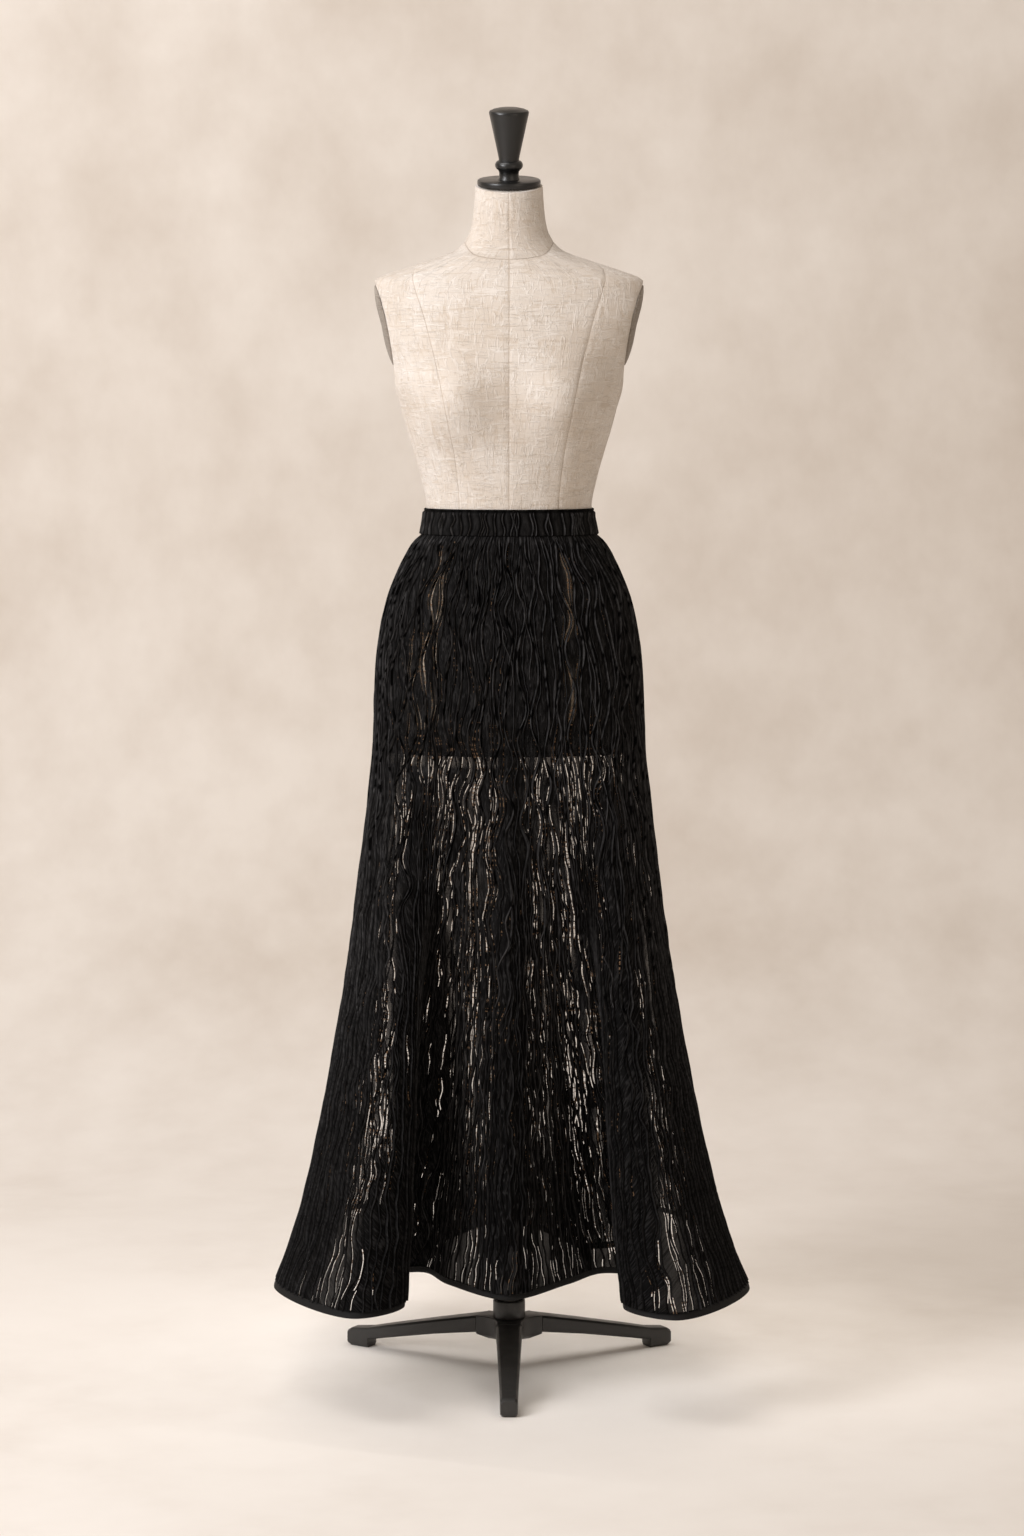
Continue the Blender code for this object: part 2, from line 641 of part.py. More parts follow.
def build():
    clear_scene()
    lace = painted("black lace", (0.012, 0.012, 0.013), 0.85)
    slip = painted("black lining", (0.008, 0.008, 0.009), 0.60)
    binding = painted("black binding", (0.010, 0.010, 0.011), 0.70)
    linen = painted("raw linen", (0.62, 0.55, 0.47), 0.90)
    plate = painted("plate linen", (0.40, 0.35, 0.30), 0.90)
    lacquer = painted("black lacquer", (0.012, 0.012, 0.012), 0.35)
    casting = painted("black powder coat", (0.020, 0.020, 0.020), 0.55, 0.2)

    skirt_panel("skirt_front", 0.0, lace)
    skirt_panel("skirt_back", 0.5, lace)
    tube("lining", TUBE_COLUMNS, 4, lining_point, LINING_WALL, slip)
    tube("waistband", TUBE_COLUMNS, 1, band_point, BAND_WALL, lace)
    hem_binding(binding)

    form_torso(linen)
    arm_plate("arm_plate_right", 1, plate)
    arm_plate("arm_plate_left", -1, plate)
    finish("neck_disc", on_neck(turned(DISC_PROFILE)), lacquer)
    finish("finial", on_neck(turned(FINIAL_PROFILE)), lacquer)

    pole(casting)
    collar(casting)
    hub(casting)
    for name, angle in LEG_ANGLES.items():
        leg(name, angle, casting)


build()
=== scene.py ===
"""A flared floor-length lace skirt on a linen dress form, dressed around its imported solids."""

import math
import random
from collections import namedtuple

import bmesh
import bpy
import numpy as np
from mathutils import Matrix, Vector, noise


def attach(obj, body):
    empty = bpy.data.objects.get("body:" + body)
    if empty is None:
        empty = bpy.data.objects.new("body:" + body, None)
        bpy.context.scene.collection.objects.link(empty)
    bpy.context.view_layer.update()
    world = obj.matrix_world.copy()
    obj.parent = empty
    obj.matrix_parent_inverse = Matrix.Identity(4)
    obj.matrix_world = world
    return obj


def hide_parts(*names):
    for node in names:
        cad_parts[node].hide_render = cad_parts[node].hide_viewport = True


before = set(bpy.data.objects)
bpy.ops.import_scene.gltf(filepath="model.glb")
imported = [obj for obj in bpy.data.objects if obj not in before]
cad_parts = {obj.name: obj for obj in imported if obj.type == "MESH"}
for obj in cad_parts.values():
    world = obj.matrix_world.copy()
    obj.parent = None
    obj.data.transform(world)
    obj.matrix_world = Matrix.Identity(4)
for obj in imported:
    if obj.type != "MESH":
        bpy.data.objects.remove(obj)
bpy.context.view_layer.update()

# ---------------------------------------------------------------- the studio
# A sheet of painted canvas, mottled in warm beige, lies on the floor and curves up behind the stand. The
# camera stands 5.3 m in front at chest height. A large soft box on the left does most of the lighting.

CAMERA_PLACE = (0.0042, -5.30, 1.415)
CAMERA_PITCH = math.radians(5.866)
CAMERA_LENS = 87.78  # mm, on a frame 36 mm high
FLOOR_FRONT = -7.0
FLOOR_BACK = 1.15
CURVE_RADIUS = 1.1
CURVE_STEPS = 24
CANVAS_TOP = 5.5
CANVAS_HALF_WIDTH = 6.0
CANVAS_LIGHT = (0.740, 0.690, 0.635)
CANVAS_DARK = (0.590, 0.525, 0.460)
# The floor's paler colour is painted light, for the light that falls on the floor from above.
CANVAS_FLOOR_PAINTED_LIGHT = (0.830, 0.790, 0.745)
AIR_COLOUR = (1.0, 0.865, 0.735, 1.0)
AIR_STRENGTH = 0.44

# Each soft box: its place and the point it is turned to, its size, its watts and its colour.
SoftBox = namedtuple("SoftBox", "name place target width height watts colour")
SOFT_BOXES = [
    SoftBox("key", (-3.3, -2.7, 2.6), (0.0, 0.0, 1.1), 1.6, 2.0, 138.0, (0.995, 0.995, 1.025)),
    SoftBox("fill", (2.6, -3.8, 1.8), (0.0, 0.0, 1.0), 2.4, 2.4, 20.0, (1.0, 0.88, 0.76)),
    SoftBox("canvas wash", (-1.9, -0.9, 4.0), (-1.2, 1.9, 0.9), 3.0, 1.2, 62.0, (1.0, 0.985, 0.985)),
]
FLOOR_LIFT = SoftBox("floor lift", (0.10, 0.15, 0.46), (0.10, 0.15, 0.0), 0.90, 0.36, 2.5, (1.0, 0.97, 0.94))

camera_data = bpy.data.cameras.new("camera")
camera_data.sensor_fit = "VERTICAL"
camera_data.sensor_height = 36.0
camera_data.lens = CAMERA_LENS
camera = bpy.data.objects.new("camera", camera_data)
camera.location = CAMERA_PLACE
camera.rotation_euler = (math.pi / 2 - CAMERA_PITCH, 0.0, 0.0)
bpy.context.scene.collection.objects.link(camera)
bpy.context.scene.camera = camera


def put_up(box):
    """Puts up a soft box: a rectangular area light, turned to its target."""
    data = bpy.data.lights.new(box.name, "AREA")
    data.shape = "RECTANGLE"
    data.size, data.size_y = box.width, box.height
    data.energy, data.color = box.watts, box.colour
    lamp = bpy.data.objects.new(box.name, data)
    lamp.location = box.place
    lamp.rotation_euler = (Vector(box.target) - Vector(box.place)).to_track_quat("-Z", "Y").to_euler()
    bpy.context.scene.collection.objects.link(lamp)
    return lamp


for soft_box in SOFT_BOXES:
    put_up(soft_box)

world = bpy.data.worlds.new("studio air")
world.use_nodes = True
air = world.node_tree.nodes["Background"]
air.inputs["Color"].default_value = AIR_COLOUR
air.inputs["Strength"].default_value = AIR_STRENGTH
bpy.context.scene.world = world
bpy.context.scene.view_settings.view_transform = "Standard"


def material(name, colour, roughness, **plain):
    """A new material with the plain values of its Principled shader set."""
    made = bpy.data.materials.new(name)
    made.use_nodes = True
    shader = made.node_tree.nodes["Principled BSDF"]
    shader.inputs["Base Color"].default_value = (*colour, 1.0)
    shader.inputs["Roughness"].default_value = roughness
    for socket, value in plain.items():
        shader.inputs[socket.replace("_", " ")].default_value = value
    return made


def add(tree, kind, sockets=(), **settings):
    """A new node: settings are its own properties, and sockets holds its inputs, as values or as links."""
    made = tree.nodes.new(kind)
    for key, value in settings.items():
        setattr(made, key, value)
    for key, value in dict(sockets).items():
        if isinstance(value, bpy.types.NodeSocket):
            tree.links.new(value, made.inputs[key])
        else:
            made.inputs[key].default_value = value
    return made


def feed(made, socket, source):
    """Links a node's output into a socket of the material's Principled shader."""
    made.node_tree.links.new(source, made.node_tree.nodes["Principled BSDF"].inputs[socket])


def object_place(tree, scale=(1.0, 1.0, 1.0)):
    """The piece's own coordinates in metres, stretched by a scale."""
    place = add(tree, "ShaderNodeTexCoord").outputs["Object"]
    return add(tree, "ShaderNodeMapping", {"Vector": place, "Scale": scale}).outputs["Vector"]


def cloth_place(tree, scale=(1.0, 1.0, 1.0)):
    """The place on the cloth in metres, across and up, stretched by a scale."""
    place = add(tree, "ShaderNodeUVMap", uv_map="cloth").outputs["UV"]
    return add(tree, "ShaderNodeMapping", {"Vector": place, "Scale": scale}).outputs["Vector"]


def noise_at(tree, place, scale, detail=2.0, roughness=0.5):
    sockets = {"Vector": place, "Scale": scale, "Detail": detail, "Roughness": roughness}
    return add(tree, "ShaderNodeTexNoise", sockets).outputs["Fac"]


def spread(tree, value, low, high, to_low=0.0, to_high=1.0):
    """Stretches a value from one range to another, held at its ends."""
    sockets = {"Value": value, "From Min": low, "From Max": high, "To Min": to_low, "To Max": to_high}
    return add(tree, "ShaderNodeMapRange", sockets, clamp=True).outputs["Result"]


def mixed(tree, share, first, second):
    """One colour turning into another by a share."""
    made = add(tree, "ShaderNodeMix", data_type="RGBA")
    for socket, value in ((made.inputs[0], share), (made.inputs[6], first), (made.inputs[7], second)):
        if isinstance(value, bpy.types.NodeSocket):
            tree.links.new(value, socket)
        else:
            socket.default_value = value if isinstance(value, float) else (*value[:3], 1.0)
    return made.outputs[2]


def worked(tree, operation, first, second=0.0):
    """One step of arithmetic."""
    return add(tree, "ShaderNodeMath", {0: first, 1: second}, operation=operation).outputs[0]


def added_up(tree, *parts):
    """The sum of some values, each taken times its own share."""
    total, *others = [worked(tree, "MULTIPLY", value, share) for value, share in parts]
    for other in others:
        total = worked(tree, "ADD", total, other)
    return total


def mark(tree, name):
    """A value that the mesh carries at its points."""
    return add(tree, "ShaderNodeAttribute", attribute_name=name).outputs["Fac"]


def bumped(tree, height, distance, strength=1.0):
    sockets = {"Height": height, "Distance": distance, "Strength": strength}
    return add(tree, "ShaderNodeBump", sockets).outputs["Normal"]


canvas = material("painted canvas", CANVAS_LIGHT, 0.95)
tree = canvas.node_tree
clouds = noise_at(tree, object_place(tree), 1.1, 5.0, 0.62)
dabs = noise_at(tree, object_place(tree, (1.0, 1.0, 0.8)), 7.0, 4.0, 0.6)
patches = added_up(tree, (clouds, 0.7), (dabs, 0.3))
painted = mixed(tree, spread(tree, patches, 0.34, 0.60), CANVAS_DARK, CANVAS_LIGHT)
# Painted light: low down the canvas turns into the paler floor colour, more in some patches than others.
height = add(tree, "ShaderNodeSeparateXYZ", {0: object_place(tree)}).outputs["Z"]
near_floor = spread(tree, height, 0.30, 0.0)
painted_floor_light = worked(tree, "MULTIPLY", near_floor, spread(tree, patches, 0.30, 0.60, 0.55, 1.0))
feed(canvas, "Base Color", mixed(tree, painted_floor_light, painted, CANVAS_FLOOR_PAINTED_LIGHT))
# A camera behind the canvas looks through it.
its_back = add(tree, "ShaderNodeNewGeometry").outputs["Backfacing"]
looked_at = add(tree, "ShaderNodeLightPath").outputs["Is Camera Ray"]
feed(canvas, "Alpha", worked(tree, "SUBTRACT", 1.0, worked(tree, "MULTIPLY", its_back, looked_at)))

bm = bmesh.new()
outline = [(FLOOR_FRONT, 0.0)]
for k in range(CURVE_STEPS + 1):
    turn = math.pi / 2 * k / CURVE_STEPS
    outline.append((FLOOR_BACK + CURVE_RADIUS * math.sin(turn), CURVE_RADIUS * (1 - math.cos(turn))))
outline.append((FLOOR_BACK + CURVE_RADIUS, CANVAS_TOP))
rail = [bm.verts.new((-CANVAS_HALF_WIDTH, y, z)) for y, z in outline]
edges = [bm.edges.new(pair) for pair in zip(rail, rail[1:])]
drawn = bmesh.ops.extrude_edge_only(bm, edges=edges)["geom"]
moved = [part for part in drawn if isinstance(part, bmesh.types.BMVert)]
bmesh.ops.translate(bm, verts=moved, vec=(2 * CANVAS_HALF_WIDTH, 0.0, 0.0))
bm.normal_update()
if sum(face.normal.z for face in bm.faces) < 0:
    bmesh.ops.reverse_faces(bm, faces=bm.faces)
mesh = bpy.data.meshes.new("backdrop")
bm.to_mesh(mesh)
bm.free()
mesh.shade_smooth()
mesh.materials.append(canvas)
backdrop = bpy.data.objects.new("backdrop", mesh)
bpy.context.scene.collection.objects.link(backdrop)

# A soft pool of light lifts the canvas where the skirt shades it. Only the canvas takes this light, and only
# the castings of the stand, which are linked as they are made, throw a shadow in it.
pool = put_up(FLOOR_LIFT)
pool.visible_camera = False
lit_canvas = bpy.data.collections.new("canvas alone")
lit_canvas.objects.link(backdrop)
castings = bpy.data.collections.new("castings alone")
pool.light_linking.receiver_collection = lit_canvas
pool.light_linking.blocker_collection = castings

# ---------------------------------------------------------------- the legs and the hub
# Three tapered legs and the small hub between them are cast metal under a matt black powder coat, fine
# grained, a little paler where the coat thins on an edge. The castings' corners are rounded.

POWDER = (0.0200, 0.0190, 0.0180)
POWDER_WORN = (0.0720, 0.0680, 0.0640)
CORNER_RADIUS = 0.0011
CORNER_STEPS = 3
SHARP = math.radians(18.0)


def finished(name, bm, *materials, smooth=40.0, node=None, slot=None):
    """Makes the bmesh a piece at the origin, on the part's one body, in place of a solid of the part."""
    mesh = bpy.data.meshes.new(name)
    bm.to_mesh(mesh)
    bm.free()
    mesh.shade_smooth()
    mesh.set_sharp_from_angle(angle=math.radians(smooth))
    for each in materials:
        mesh.materials.append(each)
    piece = bpy.data.objects.new(name, mesh)
    bpy.context.scene.collection.objects.link(piece)
    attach(piece, "root")
    if node:
        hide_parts(*([node] if isinstance(node, str) else node))
    return piece


def number_group(name, *outputs, inputs=()):
    """A new shader group whose sockets all carry numbers, with its output node."""
    group = bpy.data.node_groups.new(name, "ShaderNodeTree")
    for sockets, way in ((inputs, "INPUT"), (outputs, "OUTPUT")):
        for socket in sockets:
            group.interface.new_socket(socket, in_out=way, socket_type="NodeSocketFloat")
    return group, group.nodes.new("NodeGroupOutput")


def edge_wear():
    """A group: how worn a place is, from the sharpness of the form there and a broken noise."""
    group, end = number_group("edge wear", "Mask", inputs=["Amount"])
    amount = group.nodes.new("NodeGroupInput").outputs["Amount"]
    edges = spread(group, add(group, "ShaderNodeNewGeometry").outputs["Pointiness"], 0.52, 0.62)
    broken = spread(group, noise_at(group, object_place(group), 140.0, 4.0), 0.40, 0.62)
    worn = worked(group, "MULTIPLY", worked(group, "MULTIPLY", edges, broken), amount)
    group.links.new(worn, end.inputs["Mask"])
    return group


powder_coat = material("black powder coat", POWDER, 0.42, Specular_IOR_Level=0.50)
tree = powder_coat.node_tree
worn = add(tree, "ShaderNodeGroup", {"Amount": 0.8}, node_tree=edge_wear()).outputs["Mask"]
feed(powder_coat, "Base Color", mixed(tree, worn, POWDER, POWDER_WORN))
feed(powder_coat, "Roughness", spread(tree, noise_at(tree, object_place(tree), 60.0, 3.0), 0.3, 0.7, 0.36, 0.48))
feed(powder_coat, "Normal", bumped(tree, noise_at(tree, object_place(tree), 900.0), 0.00012, 0.8))


def rounded_copy(node):
    """A copy of a solid with its flat faces whole again and its corners rounded."""
    bm = bmesh.new()
    bm.from_mesh(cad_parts[node].data)
    bmesh.ops.remove_doubles(bm, verts=bm.verts, dist=1e-5)
    bmesh.ops.dissolve_limit(bm, angle_limit=math.radians(0.5), verts=bm.verts, edges=bm.edges)
    corners = [edge for edge in bm.edges if edge.calc_face_angle(0.0) > SHARP]
    bmesh.ops.bevel(
        bm,
        geom=corners,
        offset=CORNER_RADIUS,
        offset_type="OFFSET",
        segments=CORNER_STEPS,
        profile=0.5,
        affect="EDGES",
        material=-1,
        clamp_overlap=True,
    )
    return bm


for node in ("leg_front", "leg_left", "leg_right", "hub"):
    name = f"{node}_casting"
    casting = finished(name, rounded_copy(node), powder_coat, smooth=50.0, node=node, slot="powder_coat")
    castings.objects.link(casting)

# ---------------------------------------------------------------- the collar and the pole
# The collar is a turned steel sleeve with a chamfered lip and a shallow recess round the pole. The pole is a
# plain steel tube that goes up inside the skirt to the form. Both wear the powder coat of the legs.

SEAM_GAP = 0.0003
COLLAR_OUTLINE = [(0.0164, 0.0965), (0.0200, 0.0965), (0.0205, 0.0970), (0.0205, 0.0996), (0.0209, 0.1000)]
COLLAR_OUTLINE += [(0.0219, 0.1000), (0.0228, 0.0993), (0.0231, 0.0985), (0.0231, 0.0752), (0.0227, 0.0744)]
COLLAR_OUTLINE += [(0.0164, 0.0743)]
POLE_OUTLINE = [(0.0, 0.0972), (0.0160, 0.0972), (0.0160, 0.9297), (0.0, 0.9297)]


def closed_up(bm):
    """Joins the points that meet, and turns the faces outwards."""
    bmesh.ops.remove_doubles(bm, verts=bm.verts, dist=1e-6)
    bmesh.ops.recalc_face_normals(bm, faces=bm.faces)
    return bm


def turned(outline, steps=72, closed=False):
    """A piece turned on a lathe, from its outline of radius and height."""
    bm = bmesh.new()
    rim = [bm.verts.new((radius, 0.0, height)) for radius, height in outline]
    pairs = list(zip(rim, rim[1:])) + ([(rim[-1], rim[0])] if closed else [])
    edges = [bm.edges.new(pair) for pair in pairs]
    bmesh.ops.spin(
        bm,
        geom=rim + edges,
        cent=(0, 0, 0),
        axis=(0, 0, 1),
        angle=math.tau,
        steps=steps,
        use_merge=True,
        use_duplicate=False,
    )
    return closed_up(bm)


finished("collar_sleeve", turned(COLLAR_OUTLINE, closed=True), powder_coat, node="collar", slot="powder_coat")
finished("pole_tube", turned(POLE_OUTLINE, 48), powder_coat, node="pole", slot="powder_coat")

# ---------------------------------------------------------------- the form
# A shell of moulded board covered in raw linen, cut in panels: a seam runs down the middle of the front and
# of the back, a princess seam down each side of both, and one round the foot of the neck.

FormRow = namedtuple("FormRow", "z half_width front back arm_cut bust slope", defaults=(1.0, 0.0, 0.0))
FORM = [
    FormRow(0.9300, 0.1640, 0.1010, 0.1030),
    FormRow(0.9750, 0.1700, 0.1040, 0.1070),
    FormRow(1.0200, 0.1705, 0.1035, 0.1065),
    FormRow(1.0700, 0.1640, 0.1010, 0.1020),
    FormRow(1.1150, 0.1510, 0.0970, 0.0970),
    FormRow(1.1600, 0.1350, 0.0910, 0.0910),
    FormRow(1.2020, 0.1220, 0.0858, 0.0858),
    FormRow(1.2400, 0.1166, 0.0835, 0.0835),
    FormRow(1.2820, 0.1242, 0.0880, 0.0850),
    FormRow(1.3160, 0.1333, 0.0930, 0.0880, 1.01, 0.15),
    FormRow(1.3490, 0.1431, 0.0980, 0.0920, 1.02, 0.60),
    FormRow(1.3830, 0.1521, 0.1020, 0.0955, 1.03, 1.00),
    FormRow(1.4100, 0.1593, 0.1040, 0.0985, 1.05, 0.85),
    FormRow(1.4380, 0.1610, 0.1030, 0.1010, 1.08, 0.45),
    FormRow(1.4720, 0.1655, 0.0970, 0.1020, 1.13, 0.12),
    FormRow(1.5050, 0.1722, 0.0870, 0.1000, 1.13),
    FormRow(1.5380, 0.1815, 0.0740, 0.0930, 1.08),
    FormRow(1.5590, 0.1880, 0.0640, 0.0860, 1.02),
    FormRow(1.5660, 0.1740, 0.0600, 0.0820),
    FormRow(1.5760, 0.1450, 0.0560, 0.0770),
    FormRow(1.5880, 0.1080, 0.0530, 0.0700),
    FormRow(1.5990, 0.0775, 0.0510, 0.0630, slope=0.03),
    FormRow(1.6110, 0.0632, 0.0500, 0.0560, slope=0.07),
    FormRow(1.6290, 0.0540, 0.0490, 0.0510, slope=0.12),
    FormRow(1.6510, 0.0500, 0.0490, 0.0490, slope=0.16),
    FormRow(1.6900, 0.0470, 0.0480, 0.0480, slope=math.tan(math.radians(11.0))),
]
BUST_HEIGHT = 0.0260
BUST_SPREAD = 0.0500
BUST_SPACING = 0.0800
BUST_SIDES = 1.6

# How far each princess seam lies from the middle, in front and behind.
SeamRow = namedtuple("SeamRow", "z front back")
PRINCESS = [
    SeamRow(0.930, 0.100, 0.096),
    SeamRow(1.100, 0.088, 0.082),
    SeamRow(1.246, 0.0697, 0.062),
    SeamRow(1.302, 0.0745, 0.066),
    SeamRow(1.366, 0.0860, 0.078),
    SeamRow(1.428, 0.0984, 0.090),
    SeamRow(1.500, 0.1165, 0.104),
    SeamRow(1.577, 0.1370, 0.128),
    SeamRow(1.590, 0.0800, 0.075),
    SeamRow(1.611, 0.0400, 0.038),
    SeamRow(1.690, 0.0330, 0.033),
]
NECK_SEAM = 1.6120  # its height at the sides
NECK_SEAM_SLOPE = 0.52
NECK_SEAM_REACH = 0.055
SHOULDER_SEAM = 1.5790  # where the princess seams end
SIDE_SEAM_TOP = 1.4370  # above this the armholes take the place of the side seams
SEAM_DEPTH = 0.0004
SEAM_HALF_WIDTH = 0.0008
SEAM_COUNT = 8
SIDE_SEAMS = (0, 4, SEAM_COUNT)  # the first seam comes round again as the last
FORM_ROWS = 150
PANEL_COLUMNS = 18
BODY_RADIUS = 0.125  # turns an angle into a way across the weave, on the body and on the neck
NECK_RADIUS = 0.055
LINEN_LIT = (0.735, 0.690, 0.645)
LINEN_SHADE = (0.565, 0.490, 0.415)
LINEN_SEAM = (0.450, 0.375, 0.305)


def read(table, column, z):
    """The value of a column at height z, along a smooth curve through the rows that never overshoots."""
    rows = sorted(table, key=lambda row: row.z)
    heights = [row.z for row in rows]
    values = [getattr(row, column) for row in rows]
    z = min(max(z, heights[0]), heights[-1])
    k = min(max(int(np.searchsorted(heights, z)) - 1, 0), len(rows) - 2)
    slopes = [(values[i + 1] - values[i]) / (heights[i + 1] - heights[i]) for i in range(len(rows) - 1)]

    def tangent(i):
        if i in (0, len(rows) - 1):
            return slopes[min(i, len(slopes) - 1)]
        before, after = slopes[i - 1], slopes[i]
        return 0.0 if before * after <= 0 else 2 * before * after / (before + after)

    span = heights[k + 1] - heights[k]
    t = (z - heights[k]) / span
    return (
        (2 * t**3 - 3 * t**2 + 1) * values[k]
        + (t**3 - 2 * t**2 + t) * span * tangent(k)
        + (3 * t**2 - 2 * t**3) * values[k + 1]
        + (t**3 - t**2) * span * tangent(k + 1)
    )


def depth_at(turn, z):
    """How deep the form is at height z, on the side that the turn looks to."""
    return read(FORM, "back" if math.sin(turn) > 0 else "front", z)


def form_point(turn, z):
    """A point of the form's surface at that turn about its axis, 0 at the right side and a quarter behind."""
    half_width, deep = read(FORM, "half_width", z), depth_at(turn, z)
    x = half_width * read(FORM, "arm_cut", z) * math.cos(turn)
    y = deep * math.sin(turn)
    if y < 0:
        swell = math.exp(-(((abs(x) - BUST_SPACING) / BUST_SPREAD) ** 2))
        y -= BUST_HEIGHT * read(FORM, "bust", z) * swell * min(-y / deep * BUST_SIDES, 1.0)
    x = min(max(x, -half_width), half_width)
    return Vector((x, y, z + y * read(FORM, "slope", z)))


def dip(turn, z):
    """How far the cloth's level lines near the neck seam lie above their height at the sides, or below it."""
    beside = math.exp(-(((z - NECK_SEAM) / NECK_SEAM_REACH) ** 2))
    return NECK_SEAM_SLOPE * beside * depth_at(turn, z) * math.sin(turn) * abs(math.sin(turn))


def princess_turn(side, z):
    """The turn of a princess seam on the level line that is at height z at the sides."""
    turn = 1.0
    for _ in range(6):
        at = z + dip(turn if side == "back" else -turn, z)
        reach = read(FORM, "half_width", at) * read(FORM, "arm_cut", at)
        turn = (turn + math.acos(min(read(PRINCESS, side, at) / reach, 0.985))) / 2
    return turn


def seam_turns(z):
    """The turns of the eight long seams at a height, from the right side seam and round by the back."""
    front, back = princess_turn("front", z), princess_turn("back", z)
    quarter = math.pi / 2
    return [0.0, back, quarter, math.pi - back, math.pi, math.pi + front, 3 * quarter, math.tau - front]


def flat_grid(columns, rows, *marks):
    """A grid of faces with x and y from 0 to 1, to be bent into place, and its layers for the cloth's marks."""
    bm = bmesh.new()
    layers = ("across", "up", *marks)
    for layer in layers:
        bm.verts.layers.float.new(layer)
    bmesh.ops.create_grid(bm, x_segments=columns, y_segments=rows, size=0.5)
    bmesh.ops.translate(bm, verts=bm.verts, vec=(0.5, 0.5, 0.0))
    return bm, *(bm.verts.layers.float[layer] for layer in layers)


def sewn(name, bm, *materials, **settings):
    """A finished piece of cloth, with its own places across and up in metres as its UV map."""
    piece = finished(name, bm, *materials, **settings)
    mesh = piece.data
    count = len(mesh.vertices)
    places = np.zeros((count, 2), np.float32)
    column = np.zeros(count, np.float32)
    for axis, layer in enumerate(("across", "up")):
        mesh.attributes[layer].data.foreach_get("value", column)
        places[:, axis] = column
        mesh.attributes.remove(mesh.attributes[layer])
    corner = np.zeros(len(mesh.loops), np.int32)
    mesh.loops.foreach_get("vertex_index", corner)
    uv = mesh.uv_layers.new(name="cloth")
    uv.data.foreach_set("uv", places[corner].ravel())
    return piece


def woven_slubs():
    """A group: raw linen's height and tone, from fine threads both ways, thick slubs and old stains."""
    group, end = number_group("woven slubs", "Height", "Tone")
    place = cloth_place(group)

    def threads(across, up, scale, detail=2.0, shift=0.0):
        sockets = {"Vector": place, "Scale": (across, up, 1.0), "Location": (shift, 0.7 * shift, 0.0)}
        stretched = add(group, "ShaderNodeMapping", sockets).outputs["Vector"]
        return noise_at(group, stretched, scale, detail)

    def slubs(across, up, scale, shift):
        """Long thin strokes along one way of the weave, broken here and there."""
        off = worked(group, "ABSOLUTE", worked(group, "SUBTRACT", threads(across, up, scale, 1.0, shift), 0.5))
        line = spread(group, off, 0.010, 0.034, 1.0, 0.0)
        broken = spread(group, threads(across, up, scale * 0.8, 1.0, shift + 3.0), 0.47, 0.56)
        return worked(group, "MULTIPLY", line, broken)

    warp = spread(group, threads(1.0, 0.10, 900.0), 0.35, 0.65)
    weft = spread(group, threads(0.10, 1.0, 900.0), 0.35, 0.65)
    fine = worked(group, "MULTIPLY", worked(group, "ADD", warp, weft), 0.5)
    upright = worked(group, "MAXIMUM", slubs(1.0, 0.15, 150.0, 0.0), slubs(1.0, 0.20, 210.0, 1.3))
    level = worked(group, "MAXIMUM", slubs(0.15, 1.0, 150.0, 2.1), slubs(0.20, 1.0, 210.0, 4.7))
    pale = worked(group, "MAXIMUM", upright, level)
    dark = worked(group, "MAXIMUM", slubs(1.0, 0.16, 140.0, 7.9), slubs(0.16, 1.0, 150.0, 9.4))
    height = added_up(group, (fine, 0.30), (pale, 0.60), (dark, -0.25))
    stains = spread(group, threads(1.0, 0.8, 15.0, 5.0), 0.38, 0.62)
    tone = added_up(group, (stains, 0.36), (fine, 0.22), (1.0, 0.10), (pale, 0.34), (dark, -0.42))
    group.links.new(height, end.inputs["Height"])
    group.links.new(worked(group, "MAXIMUM", worked(group, "MINIMUM", tone, 1.0), 0.0), end.inputs["Tone"])
    return group


WOVEN_SLUBS = woven_slubs()


def linen(name, lit, shade, seam):
    """Raw linen in two tones, darker in its seams."""
    made = material(name, lit, 0.92, Specular_IOR_Level=0.25, Sheen_Weight=0.15, Sheen_Roughness=0.5)
    tree = made.node_tree
    weave = add(tree, "ShaderNodeGroup", node_tree=WOVEN_SLUBS)
    cover = mixed(tree, weave.outputs["Tone"], shade, lit)
    in_seam = mark(tree, "seam")
    feed(made, "Base Color", mixed(tree, in_seam, cover, seam))
    feed(made, "Normal", bumped(tree, weave.outputs["Height"], 0.0007, 0.9))
    return made


raw_linen = linen("raw linen", LINEN_LIT, LINEN_SHADE, LINEN_SEAM)

